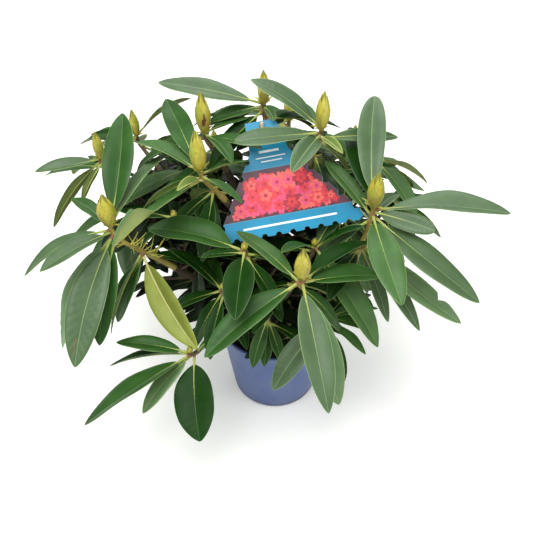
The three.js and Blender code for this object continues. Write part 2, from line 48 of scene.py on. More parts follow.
def tone(code):
    # sRGB hex to the linear colour that the shader wants
    parts = [int(code[i:i + 2], 16) / 255 for i in (0, 2, 4)]
    linear = [c / 12.92 if c < 0.04045 else ((c + 0.055) / 1.055) ** 2.4 for c in parts]
    return (*linear, 1.0)


def seeded(seed):
    # random shares that are the same in every run
    state = (seed * 2654435761) & 0xFFFFFFFF

    def draw():
        nonlocal state
        state = (state * 1664525 + 1013904223) & 0xFFFFFFFF
        return state / 4294967296
    return draw


def unit(v):
    return v / np.linalg.norm(v)


def mix(pair, share):
    return pair[0] + (pair[1] - pair[0]) * share


def direction(heading, pitch):
    level = math.cos(pitch)
    return np.array([level * math.cos(heading), level * math.sin(heading), math.sin(pitch)])


def roundTurns(count):
    return np.linspace(0, fullTurn, count, endpoint=False)


def runAlong(points):
    # the distance from the first point to each one
    return np.concatenate([[0], np.cumsum(np.linalg.norm(np.diff(points, axis=0), axis=1))])


# shader nodes, and the groups that several finishes share

def feed(tree, node, values):
    # each input takes a value, or a link from another node's output
    for label, value in values.items():
        if isinstance(value, bpy.types.NodeSocket):
            tree.links.new(value, node.inputs[label])
        else:
            node.inputs[label].default_value = value
    return node


def addNode(tree, kind, values, **settings):
    node = tree.nodes.new("ShaderNode" + kind)
    for key, value in settings.items():
        setattr(node, key, value)
    return feed(tree, node, values)


def noiseOf(tree, place, scale, detail):
    return addNode(tree, "TexNoise", {"Vector": place, "Scale": scale, "Detail": detail}).outputs["Fac"]


def ranged(tree, value, low, high):
    # 0 at the low end, 1 at the high end
    return addNode(tree, "MapRange", {"Value": value, "From Min": low, "From Max": high}).outputs["Result"]


def times(tree, first, second):
    return addNode(tree, "Math", {0: first, 1: second}, operation="MULTIPLY").outputs["Value"]


def blended(tree, share, first, second):
    colours = {"Factor": share, "A": first, "B": second}
    return addNode(tree, "Mix", colours, data_type="RGBA").outputs["Result"]


def newGroup(name, colours, values, results=()):
    # takes colours and values, and puts out a colour and the results
    tree = bpy.data.node_groups.new(name, "ShaderNodeTree")
    for side, kind, labels in (("INPUT", "Color", colours), ("INPUT", "Float", values),
                               ("OUTPUT", "Color", ["Color"]), ("OUTPUT", "Float", results)):
        for label in labels:
            tree.interface.new_socket(label, in_out=side, socket_type="NodeSocket" + kind)
    place = addNode(tree, "TexCoord", {}).outputs["Object"]
    return tree, tree.nodes.new("NodeGroupInput").outputs, place


def endGroup(tree, results):
    feed(tree, tree.nodes.new("NodeGroupOutput"), results)
    return tree


def makeMottle():
    # two tones in soft patches, with a fine grain for gloss and relief
    tree, given, place = newGroup("mottle", ["Tone", "Second Tone"], [
        "Patch Scale", "Grain Scale", "Smoothest", "Roughest"], ["Roughness", "Height"])
    patches = ranged(tree, noiseOf(tree, place, given["Patch Scale"], 3), 0.32, 0.68)
    grain = noiseOf(tree, place, given["Grain Scale"], 2)
    gloss = addNode(tree, "MapRange", {
        "Value": grain, "To Min": given["Smoothest"], "To Max": given["Roughest"]})
    return endGroup(tree, {
        "Color": blended(tree, patches, given["Tone"], given["Second Tone"]),
        "Roughness": gloss.outputs["Result"], "Height": grain})


def makeFibre():
    # upright streaks, as in bark and split wood
    tree, given, place = newGroup("fibre", ["Color", "Streak"], [
        "Across Scale", "Along Scale", "Strength"], ["Height"])
    across, along = given["Across Scale"], given["Along Scale"]
    stretch = addNode(tree, "CombineXYZ", {"X": across, "Y": across, "Z": along}).outputs["Vector"]
    scaled = addNode(tree, "VectorMath", {0: place, 1: stretch}, operation="MULTIPLY").outputs["Vector"]
    streaks = noiseOf(tree, scaled, 1, 4)
    amount = times(tree, ranged(tree, streaks, 0.45, 0.7), given["Strength"])
    return endGroup(tree, {
        "Color": blended(tree, amount, given["Color"], given["Streak"]), "Height": streaks})


def makeSplash():
    # dirt that thins out from one height to another, broken up by noise
    tree, given, place = newGroup("splash", ["Color", "Dirt"], [
        "Full At", "Gone At", "Strength", "Scale"])
    height = addNode(tree, "SeparateXYZ", {"Vector": place}).outputs["Z"]
    fall = ranged(tree, height, given["Gone At"], given["Full At"])
    broken = ranged(tree, noiseOf(tree, place, given["Scale"], 5), 0.38, 0.62)
    amount = times(tree, times(tree, fall, broken), given["Strength"])
    return endGroup(tree, {"Color": blended(tree, amount, given["Color"], given["Dirt"])})


mottle, fibre, splash = makeMottle(), makeFibre(), makeSplash()


def finish(name, tones, patch, grain, rough, bump=0.0, bumpDepth=0.0002, coat=0.0, coatRough=0.3,
           specular=0.5, streaks=None, dirt=None):
    # a mottled surface, with streaks and dirt where asked for
    material = bpy.data.materials.new(name)
    material.use_nodes = True
    tree = material.node_tree
    base = addNode(tree, "Group", {
        "Tone": tone(tones[0]), "Second Tone": tone(tones[1]), "Patch Scale": patch, "Grain Scale": grain,
        "Smoothest": rough[0], "Roughest": rough[1]}, node_tree=mottle).outputs
    colour, height = base["Color"], base["Height"]
    if streaks:
        lines = addNode(tree, "Group", {"Color": colour, **streaks}, node_tree=fibre).outputs
        colour, height = lines["Color"], lines["Height"]
    if dirt:
        colour = addNode(tree, "Group", {"Color": colour, **dirt}, node_tree=splash).outputs["Color"]
    surface = {"Base Color": colour, "Roughness": base["Roughness"], "Specular IOR Level": specular,
               "Coat Weight": coat, "Coat Roughness": coatRough}
    if bump:
        relief = addNode(tree, "Bump", {"Strength": bump, "Distance": bumpDepth, "Height": height})
        surface["Normal"] = relief.outputs["Normal"]
    feed(tree, tree.nodes["Principled BSDF"], surface)
    return material


def finishes(tones, *look):
    # the same finish in several tones
    return [finish(name, pair, *look) for name, pair in tones.items()]


print("shader groups made")

# heaps of vertices and faces that become one joined piece each

def newHeap():
    return {"verts": [], "faces": [], "mats": [], "count": 0}


def addFaces(heap, verts, faces, mats):
    # mats has one value a face, or one for all
    heap["verts"].append(np.asarray(verts, float).reshape(-1, 3))
    start = heap["count"]
    heap["faces"].extend([[start + i for i in face] for face in faces])
    heap["mats"].extend(mats if hasattr(mats, "__len__") else [mats] * len(faces))
    heap["count"] += len(heap["verts"][-1])


def meshFrom(heap, name):
    mesh = bpy.data.meshes.new(name)
    mesh.from_pydata(np.concatenate(heap["verts"]) * mm, [], heap["faces"])
    mesh.polygons.foreach_set("material_index", heap["mats"])
    return mesh


def placePiece(mesh, name, materials, stands=(), sharp=0):
    # shaded smooth up to a sharp angle where one is given
    for material in materials:
        mesh.materials.append(material)
    if sharp:
        mesh.polygons.foreach_set("use_smooth", [True] * len(mesh.polygons))
        mesh.set_sharp_from_angle(angle=math.radians(sharp))
    mesh.update()
    piece = bpy.data.objects.new(name, mesh)
    scene.collection.objects.link(piece)
    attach(piece, "root")
    if stands:
        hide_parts(*stands)
    print(" ", name, sum(len(p.vertices) - 2 for p in mesh.polygons), "triangles")


def pieceFrom(heap, name, materials, stands=(), sharp=38):
    placePiece(meshFrom(heap, name), name, materials, stands, sharp)


def addShell(heap, outer, inner, outerMats, innerMat, rimMat):
    # a thin closed sheet between two grids of points
    rows, cols = outer.shape[:2]
    size = rows * cols
    ids = np.arange(size).reshape(rows, cols)
    quads = np.stack([ids[:-1, :-1], ids[:-1, 1:], ids[1:, 1:], ids[1:, :-1]], -1).reshape(-1, 4)
    around = np.concatenate([ids[0, :-1], ids[:-1, -1], ids[-1, :0:-1], ids[:0:-1, 0]])
    onward = np.roll(around, -1)
    rim = np.stack([onward, around, around + size, onward + size], -1)
    faces = np.concatenate([quads, quads[:, [0, 3, 2, 1]] + size, rim])
    mats = np.concatenate([np.broadcast_to(outerMats, (rows - 1, cols - 1)).ravel(),
                           np.full(len(quads), innerMat), np.full(len(rim), rimMat)])
    verts = np.concatenate([outer.reshape(-1, 3), inner.reshape(-1, 3)])
    addFaces(heap, verts, faces.tolist(), mats.tolist())


def ringFaces(rings, sides):
    # quads between rings of points, and a cap on each end
    ids = np.arange(rings * sides).reshape(rings, sides)
    onward = np.roll(ids, -1, axis=1)
    quads = np.stack([ids[:-1], onward[:-1], onward[1:], ids[1:]], -1).reshape(-1, 4)
    return quads.tolist() + [ids[0, ::-1].tolist(), ids[-1].tolist()]


def turnedFrames(centres):
    # steady side directions along a line of points
    tangents = np.gradient(centres, axis=0)
    tangents /= np.linalg.norm(tangents, axis=1, keepdims=True)
    start = np.array([1.0, 0, 0]) if abs(tangents[0][0]) < 0.8 else np.array([0, 1.0, 0])
    normals = []
    for tangent in tangents:
        start = unit(start - tangent * (start @ tangent))
        normals.append(start)
    normals = np.array(normals)
    return normals, np.cross(tangents, normals)


def addTube(heap, centres, radii, sides, mats=0):
    # radii has one row a ring, with one or as many values as there are sides, and mats one value a stretch
    centres = np.asarray(centres, float)
    radii = np.asarray(radii, float).reshape(len(centres), -1)
    normals, others = turnedFrames(centres)
    turns = roundTurns(sides)[None, :, None]
    spread = np.cos(turns) * normals[:, None] + np.sin(turns) * others[:, None]
    verts = centres[:, None] + spread * np.broadcast_to(radii, (len(centres), sides))[..., None]
    mats = np.broadcast_to(mats, len(centres) - 1).repeat(sides).tolist()
    addFaces(heap, verts, ringFaces(len(centres), sides), mats + [mats[0], mats[-1]])


# the plant's rule, with the sizes of its solids

plant = {
    "soilTop": 110, "clear": 0.3, "trunkHead": (5, 4), "trunkHeight": 82, "trunkFlare": 18, "flareFall": 8,
    "trunkGirth": 12, "trunkTip": 9.5, "leaderGirth": 8, "boughThick": 6, "sideThick": 4.8, "boughThin": 3.9,
    "boughRise": 0.35, "limbLeave": 0.4, "limbMeet": 0.35, "stemMeet": 0.3, "stemLength": 55,
    "stemThick": 3.8, "stemThin": 3.2, "stemTilt": 50, "openReach": 120, "budLength": 46, "budRadius": 8.4,
    "budUpright": 2400, "smallBud": 0.4,
}
leafRule = {
    "petiole": 0.13, "slimness": 0.272, "arch": (0.03, 0.09), "roll": 14, "breadth": (0.92, 1.1),
    "firstDown": 2, "step": 2.3, "near": 0.4,
    "turns": [(h, p) for h in (0, 9, -9) for p in (0, 8, -8, 16, -16, 24, -24)],
    # whorls by rule
    "firstTurn": 0.3, "turnSpread": 14, "pitch": -20, "pitchTilt": 12, "pitchSpread": 20,
    "length": (100, 132),
}


def newShoot(name, shade, bearer, tip, bud, leaves, lower=None, plump=1, stem=plant["stemLength"],
             tilt=plant["stemTilt"]):
    # a leaf is (heading, pitch, length, roll, breadth), and a plain number is that many by rule
    # a lower whorl starts with its distance down, and shade has a letter for each leaf, its tone set leaf by
    # leaf: partly its own, partly painted shade (deep) and painted light (grey, pale)
    whorls = [(leafRule["firstDown"], leaves)] + ([lower] if lower else [])
    return dict(name=name, shade=shade.split("/"), bearer=bearer, tip=np.array(tip, float), bud=bud,
                whorls=whorls, plump=plump, stem=stem, tilt=tilt, small=bud < plant["smallBud"])


shoots = [
    newShoot("front", "gmpmdfd/dmdd", ("trunk", 0.84), (26, -120, 308), 0.95, [
        (280, -22, 148, 0, 0.86), (213, -21, 132), (298, -51, 143), (18, -10, 100), (37, 3, 106, -30),
        (137, 4, 99, 25), (95, -34, 90),
    ], (36, [(198, -50, 82), (345, -56, 82), (150, -38, 84), (30, -44, 84)]), plump=1.06),
    newShoot("right", "gdggfgfgp/pggmdd", ("trunk", 0.66), (108, -40, 345), 1, [
        (86, 28, 145, 0, 0.88), (100, 18, 120), (350, 6, 149), (330, 2, 74, 25, 1.05), (279, -10, 128),
        (320, -18, 153), (134, 12, 84), (54, -5, 66), (172, -24, 92),
    ], (58, [(321, -18, 146, 0, 0.8), (308, -30, 121, 30, 0.6), (298, -44, 96, 0, 0.7), (30, -6, 88),
             (240, -20, 84), (200, -34, 95)]), plump=1.1, stem=95, tilt=80),
    newShoot("left", "mpmgggpm/ydmd", ("trunk", 0.77), (-190, -45, 322), 0.95, [
        (87, 32, 142, 0, 0.88), (57, 18, 125, -30, 0.8), (142, 12, 66), (212, -10, 109), (227, 2, 98),
        (253, -36, 158, 0, 0.9), (226, -50, 152), (258, -46, 128),
    ], (57, [(310, -40, 134, 172, 0.98), (244, -38, 104, 50), (226, -48, 96), (20, -44, 90)]),
        plump=1.3, stem=105),
    newShoot("middle", "mfmmffy/dddd", ("leader", 0.5), (-85, -32, 388), 1.1, [
        (112, 11, 126, 0, 0.78), (148, 6, 90), (24, 2, 58, -30), (326, -14, 56), (208, -14, 74, 35),
        (226, -10, 130, 25), (232, 14, 44),
    ], (34, [(248, -62, 86), (186, -48, 92), (120, -40, 88), (40, -46, 88)])),
    newShoot("top_right", "gmggygmmd/dm", ("leader", 0.72), (49, 8, 416), 1, [
        (160, 29, 95), (118, -4, 108), (190, 0, 97), (247, 4, 88), (292, 12, 56, 0, 0.8),
        (37, -20, 138, 30, 0.55), (30, -28, 70), (62, -42, 100), (92, -36, 105),
    ], (34, [(352, -62, 84), (84, -48, 92)])),
    newShoot("top", "gmfdmmdmd/mdd", ("leader", 1), (-15, 60, 418), 0.9, [
        (178, 12, 123), (196, -8, 66), (286, 8, 40), (212, -20, 95), (150, -26, 115), (118, -34, 115),
        (82, -36, 110), (48, -32, 110), (16, -24, 100),
    ], (36, 3)),
    newShoot("top_left", "mmmmdmmd/mdf", ("leader", 0.36), (-83, 30, 398), 1.1, [
        (20, 18, 54), (300, -8, 66), (336, -22, 72), (170, -30, 100), (140, -28, 108), (112, -34, 108),
        (78, -36, 104), (44, -30, 96),
    ], (36, [(196, -34, 100), (76, -36, 104), (104, -50, 92)])),
    newShoot("left_back", "gmmmdmmd", ("bough_left", 0.5), (-217, 70, 336), 0.8, [
        (200, 0, 81), (229, -32, 102, 78), (236, -38, 58, 80), (110, -32, 95), (84, -34, 100),
        (135, -32, 100), (160, -28, 105), (60, -36, 96),
    ]),
    newShoot("low_left", "mdmpdm", ("trunk", 0.63), (-102, -120, 189), 0.25, [
        (174, 6, 89), (188, -3, 96, 38), (213, -13, 146, 34), (226, -24, 90), (276, -26, 104, 0, 1.75),
        (36, 20, 36),
    ], tilt=8),
    newShoot("inner_left", "dmdmdd/dddd", ("bough_front", 0.5), (-36, -86, 320), 0.25, [
        (265, -10, 92, 0, 1.35), (164, 4, 114, 0, 1.35), (196, 8, 50), (10, -12, 60), (310, -34, 72),
        (120, -30, 80),
    ], (32, [(300, -50, 80), (60, -36, 90), (128, -30, 92), (98, -20, 90)])),
    newShoot("inner_low", "ddddmd", ("bough_left", 0.24), (-64, -66, 240), 0.25, [
        (168, -26, 92), (216, -64, 84), (150, 2, 84), (256, -44, 80), (110, -16, 84), (300, -40, 70),
    ]),
    newShoot("inner_right", "fmdmd", ("leader", 0.2), (44, -44, 290), 0.25, [
        (311, -28, 138), (232, 30, 74), (350, 30, 70), (36, 28, 76), (150, -18, 84),
    ]),
    newShoot("mid_left", "dddd", ("leader", 0.14), (-122, -6, 302), 0.25, [
        (152, -10, 90), (194, -42, 86), (104, -22, 95), (62, -28, 90),
    ]),
    newShoot("mid_right", "mdmdmdfm", ("leader", 0.3), (84, 24, 300), 0.25, 8),
    newShoot("low_right", "mmgmdd", ("trunk", 0.53), (58, -100, 230), 0.25, [
        (8, -28, 74), (22, -16, 70), (226, -30, 103), (328, -26, 62), (290, -56, 92), (60, -10, 80),
    ]),
    newShoot("low_front", "mmmddd", ("trunk", 0.4), (-10, -88, 216), 0.25, [
        (247, -40, 62), (262, -52, 58), (293, -46, 52), (204, -18, 62), (180, -30, 80), (345, -30, 64),
    ]),
    newShoot("right_back", "gfmdmdm", ("trunk", 0.83), (128, 96, 318), 0.6, [
        (346, -20, 74, -50), (312, -50, 92), (64, -34, 112), (98, -32, 108), (34, -40, 104),
        (140, -24, 98), (172, -36, 92),
    ]),
    newShoot("side_right", "mdmfmdd", ("bough_right_back", 0.42), (150, 92, 250), 0.25, [
        (356, -34, 96), (24, -28, 112), (52, -24, 118), (84, -30, 114), (330, -48, 96), (120, -34, 98),
        (300, -58, 84),
    ]),
    newShoot("back_left", "pdfmmdd", ("trunk", 0.6), (-180, 122, 336), 0.8, [
        (46, 10, 96, -54), (172, 0, 62), (100, -34, 108), (130, -30, 112), (152, -26, 108),
        (72, -36, 102), (20, -40, 92),
    ]),
    newShoot("inner_back", "dfdmdmdd", ("bough_back_left", 0.5), (-105, 78, 318), 0.25, 8),
    newShoot("back", "gmfmgmfmmfm", ("trunk", 0.68), (18, 160, 336), 0.9, 11),
    newShoot("back_right", "mfgmfmmfgm", ("bough_back", 0.5), (108, 176, 276), 0.9, 10),
    newShoot("back_low", "fmmgmfmmfm", ("bough_back", 0.38), (-84, 186, 262), 0.9, 10),
    newShoot("side_left", "mfmgmmfmm", ("bough_back_left", 0.32), (-200, 122, 226), 0.8, 9),
]


def bezier(*knots):
    order = len(knots) - 1

    def raw(t):
        t = np.asarray(t, float)[..., None]
        return sum(math.comb(order, i) * (1 - t) ** (order - i) * t ** i * k for i, k in enumerate(knots))
    steps = np.linspace(0, 1, 201)
    lengths = runAlong(raw(steps))

    def at(share):  # by share of the length
        return raw(np.interp(np.asarray(share, float) * lengths[-1], lengths, steps))
    return {"at": at, "length": lengths[-1], "end": unit(knots[-1] - knots[-2])}


def limbCurve(foot, out, end, along, meet=plant["limbMeet"]):
    # leaves its foot in one direction and comes to its end in another
    span = np.linalg.norm(end - foot)
    return bezier(foot, foot + out * span * plant["limbLeave"], end - along * span * meet, end)


def stemStart(shoot):
    # stems on the rim of the crown lean outward
    tip = shoot["tip"]
    openness = min(1, math.hypot(tip[0], tip[1]) / plant["openReach"])
    level = openness * math.cos(math.radians(shoot["tilt"]))
    along = np.append(unit(tip[:2]) * level, math.sqrt(1 - level * level))
    return tip - along * shoot["stem"], along


def stemCurve(shoot):
    start, along = stemStart(shoot)
    return limbCurve(start + along * plant["clear"], along, shoot["tip"], upward, plant["stemMeet"])


def limbGirth(limb, t):
    return mix(limb["girths"], t) + limb["flare"] * (1 - t) ** plant["flareFall"]


def growLimbs():
    foot = upward * (plant["soilTop"] + plant["clear"])
    head = np.array([*plant["trunkHead"], plant["soilTop"] + plant["trunkHeight"]], float)
    trunk = bezier(foot, upward * (foot[2] + head[2]) / 2, head)
    start, along = stemStart(next(s for s in shoots if s["name"] == "top"))
    leader = limbCurve(head + trunk["end"] * plant["clear"], trunk["end"], start, along)
    limbs = {
        "trunk": dict(curve=trunk, girths=(plant["trunkGirth"], plant["trunkTip"]),
                      flare=plant["trunkFlare"] - plant["trunkGirth"]),
        "leader": dict(curve=leader, girths=(plant["leaderGirth"], plant["boughThin"]), flare=0),
    }
    for shoot in shoots:
        bearer, share = shoot["bearer"]
        if share == 1:
            continue
        end, along = stemStart(shoot)
        start = limbs[bearer]["curve"]["at"](share)
        out = unit(unit((end - start) * (1, 1, 0)) + upward * plant["boughRise"])
        thick = plant["boughThick"] if bearer == "trunk" else plant["sideThick"]
        limbs["bough_" + shoot["name"]] = dict(
            curve=limbCurve(start, out, end, along), girths=(thick, plant["boughThin"]), flare=0,
            bearer=limbs[bearer], share=share)
    return limbs


def leafFrom(wanted, base, draws):
    heading, pitch, length, roll, breadth = (*wanted, *(0, 1)[len(wanted) - 3:])
    along = direction(math.radians(heading), math.radians(pitch))
    face = unit(upward - along * (upward @ along))
    angle = math.radians(roll + leafRule["roll"] * (2 * draws[0] - 1))
    face = face * math.cos(angle) + np.cross(along, face) * math.sin(angle)
    return dict(base=base, along=along, face=face, side=np.cross(along, face), length=length,
                width=length * leafRule["slimness"] * breadth * mix(leafRule["breadth"], draws[1]),
                arch=mix(leafRule["arch"], draws[2]), fold=draws[3])


def whorlList(leaves, shoot, draw):
    if not isinstance(leaves, int):
        return leaves
    rule = leafRule
    outward = math.degrees(math.atan2(shoot["tip"][1], shoot["tip"][0]))
    made = []
    for i in range(leaves):
        turn = 360 * (i + rule["firstTurn"]) / leaves + rule["turnSpread"] * (draw() - 0.5)
        droop = rule["pitch"] - rule["pitchTilt"] * math.cos(math.radians(turn))
        pitch = droop + rule["pitchSpread"] * (draw() - 0.5)
        made.append((outward + turn, pitch, mix(rule["length"], draw())))
    return made


def solidPoints(name):
    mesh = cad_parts[name].data
    tree = KDTree(len(mesh.vertices))
    for vertex in mesh.vertices:
        tree.insert(vertex.co, vertex.index)
    tree.balance()
    return tree


def growLeaves(shoot, index, stem):
    # each leaf takes the turn at which its solid stands, and one that has no solid is left out
    draw = seeded(index + 1)
    solid = solidPoints("shoot_" + shoot["name"])
    grown = []
    for whorl, (down, leaves) in enumerate(shoot["whorls"]):
        for i, wanted in enumerate(whorlList(leaves, shoot, draw)):
            draws = [draw() for _ in range(4)]
            base = stem["at"](1 - (down + i * leafRule["step"]) / stem["length"])
            for heading, pitch in leafRule["turns"]:
                leaf = leafFrom((wanted[0] + heading, wanted[1] + pitch, *wanted[2:]), base, draws)
                tip = base + leaf["along"] * leaf["length"]
                if solid.find(Vector(tip * mm))[2] < leafRule["near"] * mm:
                    leaf.update(key=(shoot["name"], whorl, i), shade=shoot["shade"][whorl][i])
                    grown.append(leaf)
                    break
    return grown


limbs = growLimbs()
stems = [stemCurve(s) for s in shoots]
leaves = [leaf for i, s in enumerate(shoots) for leaf in growLeaves(s, i, stems[i])]
print("rule grown:", len(limbs), "limbs,", len(leaves), "leaves")

# leaf blades: folded along a pale midrib, quilted between the side veins

bladeForm = {
    "lowerStations": 28, "stations": 46, "sideColumns": 4, "evenShare": 0.35, "underlap": 0.9,
    "thickness": 0.55, "edgeThinning": 0.45, "sunk": 0.2, "edge": 0.55, "midrib": (0.5, 0.18),
    "tapers": (0.68, 0.72), "tipHalf": 0.18, "footHalf": 0.9, "fold": (0.2, 0.54), "foldRound": 1.7,
    "recurve": (0.04, 0.16), "recurveFrom": 0.6, "veins": 13, "veinSlant": 1.5, "quilt": 1.3,
    "wave": (0.01, 0.07), "waves": 1.7, "phase": 6.28, "sway": 0.025, "twist": 12, "twistFrom": 0.2,
    "biteWidth": 0.028, "veeRun": 0.14, "ragged": 0.35,
}
upperMat, underMat, ribMat, edgeMat, scarMat = range(5)
blunt = (0.6, 0.5)
features = {  # leaves with something of their own, by shoot, whorl and place
    ("left", 0, 0): dict(sway=0.05),
    ("left", 0, 3): dict(sway=0.13),
    ("left", 0, 4): dict(sway=-0.04),
    ("left", 0, 5): dict(sway=0.035, columns=14, scars=[  # along, across, long, wide
        (0.74, 0.64, 0.03, 0.03), (0.79, 0.66, 0.02, 0.02), (0.7, 0.61, 0.012, 0.02)]),
    ("left", 0, 6): dict(sway=0.045),
    ("right", 0, 0): dict(tapers=blunt),
    ("right", 0, 3): dict(tapers=blunt),
    ("right", 0, 5): dict(sway=0.04),
    ("right", 1, 0): dict(sway=0.06, bite=(0.76, 0.6, -1)),  # place, depth, side
    ("low_left", 0, 2): dict(sway=-0.08),
    ("left_back", 0, 0): dict(sway=-0.09),
    ("top", 0, 0): dict(sway=-0.05),
    ("top_right", 0, 2): dict(tapers=blunt),
    ("middle", 0, 5): dict(vee=(58, 0.5)),  # angle, start
    ("middle", 0, 6): dict(curl=0.6),
}


def halfWidths(leaf, s):
    # a wedge at the stalk, widest near the middle
    form = bladeForm
    base, end = leaf.get("tapers", form["tapers"])
    u = np.clip((s - leafRule["petiole"]) / (1 - leafRule["petiole"]), 0, 1)
    widest = base / (base + end)
    half = u ** base * (1 - u) ** end / (widest ** base * (1 - widest) ** end) * leaf["width"] / 2
    return np.maximum(half, form["tipHalf"] + form["footHalf"] * (1 - u) ** 6)


def onLeaf(leaf, s, across, lift):
    # a place on a leaf from its share of the length, offset across and lift off the arched middle line
    bow = leaf["length"] * 4 * s * (1 - s)
    return (leaf["base"] + leaf["along"] * (leaf["length"] * s)[..., None]
            + leaf["face"] * (bow * leaf["arch"] + lift)[..., None]
            + leaf["side"] * (across + bow * leaf["sway"])[..., None])


def bladeGrid(leaf, draw, stations, columns):
    form = bladeForm
    t = np.linspace(0, 1, stations)[:, None]
    t = form["evenShare"] * t + (1 - form["evenShare"]) * (1 - np.cos(math.pi * t)) / 2
    start = leafRule["petiole"] * form["underlap"]
    s = start + (1 - start) * t
    half = halfWidths(leaf, s)
    rib = np.minimum(mix(form["midrib"], t), 0.4 * half)
    edge = np.minimum(form["edge"], 0.25 * half)
    right = rib + (half - edge - rib) * np.linspace(0, 1, columns + 1)
    right = np.concatenate([right, half], axis=1)
    x = np.concatenate([-right[:, ::-1], right], axis=1)
    v = np.abs(x) / half
    ends = np.clip(4 * t * (1 - t), 0, 1)  # fades out towards both ends
    lift = mix(form["fold"], leaf["fold"]) * half * (1 - (1 - v) ** form["foldRound"]) * ends ** 0.35
    rolled = np.clip((v - form["recurveFrom"]) / (1 - form["recurveFrom"]), 0, 1)
    lift -= mix(form["recurve"], draw()) * half * rolled ** 2
    groove = (0.5 + 0.5 * np.cos(fullTurn * (form["veins"] * t - form["veinSlant"] * v))) ** 2
    lift -= form["quilt"] * np.sin(math.pi * np.clip(v, 0, 0.97)) * groove * ends ** 0.5
    phase, swing = form["phase"] * draw(), mix(form["wave"], draw())
    lift += swing * half * v ** 2 * np.sin(fullTurn * form["waves"] * t + phase + np.sign(x))
    tilt = np.radians(form["twist"] * (2 * draw() - 1) * (t - form["twistFrom"])) * np.ones(x.shape)
    if "bite" in leaf:
        where, deep, hand = leaf["bite"]
        notch = 1 - deep * np.exp(-((s - where) / form["biteWidth"]) ** 2)
        x = np.where(np.sign(x) == hand, x * notch, x)
    if "curl" in leaf:
        lift += leaf["curl"] * half * v ** 2 * ends
    if "vee" in leaf:  # both halves fold up towards the tip
        angle, start = leaf["vee"]
        share = np.clip((t - start) / form["veeRun"], 0, 1)
        tilt = tilt + np.sign(x) * math.radians(angle) * share * share * (3 - 2 * share)
    x, lift = x * np.cos(tilt) - lift * np.sin(tilt), x * np.sin(tilt) + lift * np.cos(tilt)
    outer = onLeaf(leaf, np.broadcast_to(s, x.shape), x, lift - form["sunk"])
    thick = form["thickness"] * (1 - form["edgeThinning"] * v ** 3)[..., None]
    normal = leaf["face"] * np.cos(tilt)[..., None] - leaf["side"] * np.sin(tilt)[..., None]
    return outer, outer - normal * thick


def addLeaf(heap, leaf, draw, stations, columns=bladeForm["sideColumns"]):
    columns = leaf.get("columns", columns)
    outer, inner = bladeGrid(leaf, draw, stations, columns)
    half = [upperMat] * columns
    mats = np.tile([edgeMat, *half, ribMat, *half, edgeMat], (stations - 1, 1))
    rows, cols = np.indices(mats.shape)
    for along, across, long, wide in leaf.get("scars", ()):  # brown spots
        ragged = 1 + bladeForm["ragged"] * np.sin(5 * rows + 3 * cols)
        spot = ((rows / stations - along) / long) ** 2 + ((cols / (2 * columns + 2) - across) / wide) ** 2
        mats[spot < ragged] = scarMat
    addShell(heap, outer, inner, mats, underMat, edgeMat)


stalkForm = {
    "sides": 8, "rings": (6, 14), "innerSides": 6, "innerRings": (4, 8), "rib": (0.17, 0.97), "footRings": 2,
    "places": (0, 0.03, 0.12, 0.2, 0.97), "girths": (2.1, 1.75, 1.5, 1.0, 0.22),
    "liftPlaces": (0, 0.08, 0.2, 1), "lifts": (0, -0.1, -0.8, -0.6),
}


def addStalk(heap, leaf, mat, sides, rings):
    # the stalk runs on under the blade as its raised midrib
    form = stalkForm
    s = np.concatenate([np.linspace(0, leafRule["petiole"], rings[0]), np.linspace(*form["rib"], rings[1])])
    thick = np.interp(s, form["places"], form["girths"])
    lift = np.interp(s, form["liftPlaces"], form["lifts"])
    foot = form["footRings"]
    mats = [1] * foot + [mat] * (len(s) - 1 - foot)
    addTube(heap, onLeaf(leaf, s, np.zeros(len(s)), lift), thick, sides, mats)


# the label card's place and outline, which the small leaves keep clear of

cardForm = {
    "base": 180, "shoulder": 44, "head": 35, "shoulderHeight": 96, "height": 130.5, "slant": 0.115,
    "thickness": 0.9, "bite": 3.6, "bites": 11, "sideBites": 5, "bitePoints": 11, "slotWidth": 5.4,
    "slotLength": 9.5, "slotDrop": 9, "top": (-17, 27, 403), "tilt": 38, "turn": 10.4,
}
cardPlace = (Matrix.Translation(Vector(cardForm["top"]) * mm)
             @ Matrix.Rotation(math.radians(90 - cardForm["tilt"]), 4, "X")
             @ Matrix.Rotation(math.radians(cardForm["turn"]), 4, "Z"))
cardTop = cardForm["slotDrop"]
cardFoot = cardTop - cardForm["height"]
cardShoulder = cardFoot + cardForm["shoulderHeight"]


def cardHalf(y):
    if y < cardShoulder:
        return mix((cardForm["base"], cardForm["shoulder"]), (y - cardFoot) / cardForm["shoulderHeight"]) / 2
    return mix((cardForm["shoulder"], cardForm["head"]), (y - cardShoulder) / (cardTop - cardShoulder)) / 2


# finer twigs inside the crown, each with its own small whorl where there is room

twigForm = {
    "shares": (0.34, 0.5, 0.65, 0.8, 0.95), "around": 7, "length": (12, 50), "rise": 45, "leaves": 7,
    "leafLength": (52, 96), "leafPitch": (-6, -40), "leafTurn": 20, "leafStep": 0.8, "stations": 13,
    "columns": 2, "room": 4.2, "nearby": 75, "middle": (-20, 15, 262), "reach": (256, 252, 176),
    "inside": 0.8, "lowest": 138, "front": -12, "cardRoom": 3, "cardBehind": 8, "thick": (1.7, 1.2),
    "sag": 2, "sides": 8, "rings": 9, "budHeights": (-0.5, 1.5, 4, 6.5, 8),
    "budGirths": (1.2, 2, 2.1, 1.2, 0.2),
    # points on a leaf that have to be clear, without those at its foot
    "probes": (0.12, 1, 9), "probeSides": (-0.8, 0, 0.8), "footProbes": 6,
}
viewing = {"eye": (-12, -706, 852.7), "aim": (-12, 0, 217), "lens": 50.3, "sensor": 36}


def leafPoints(leaf):
    s = np.linspace(*twigForm["probes"])[:, None] * np.ones((1, 3))
    return onLeaf(leaf, s, halfWidths(leaf, s) * np.array(twigForm["probeSides"]), s * 0).reshape(-1, 3)


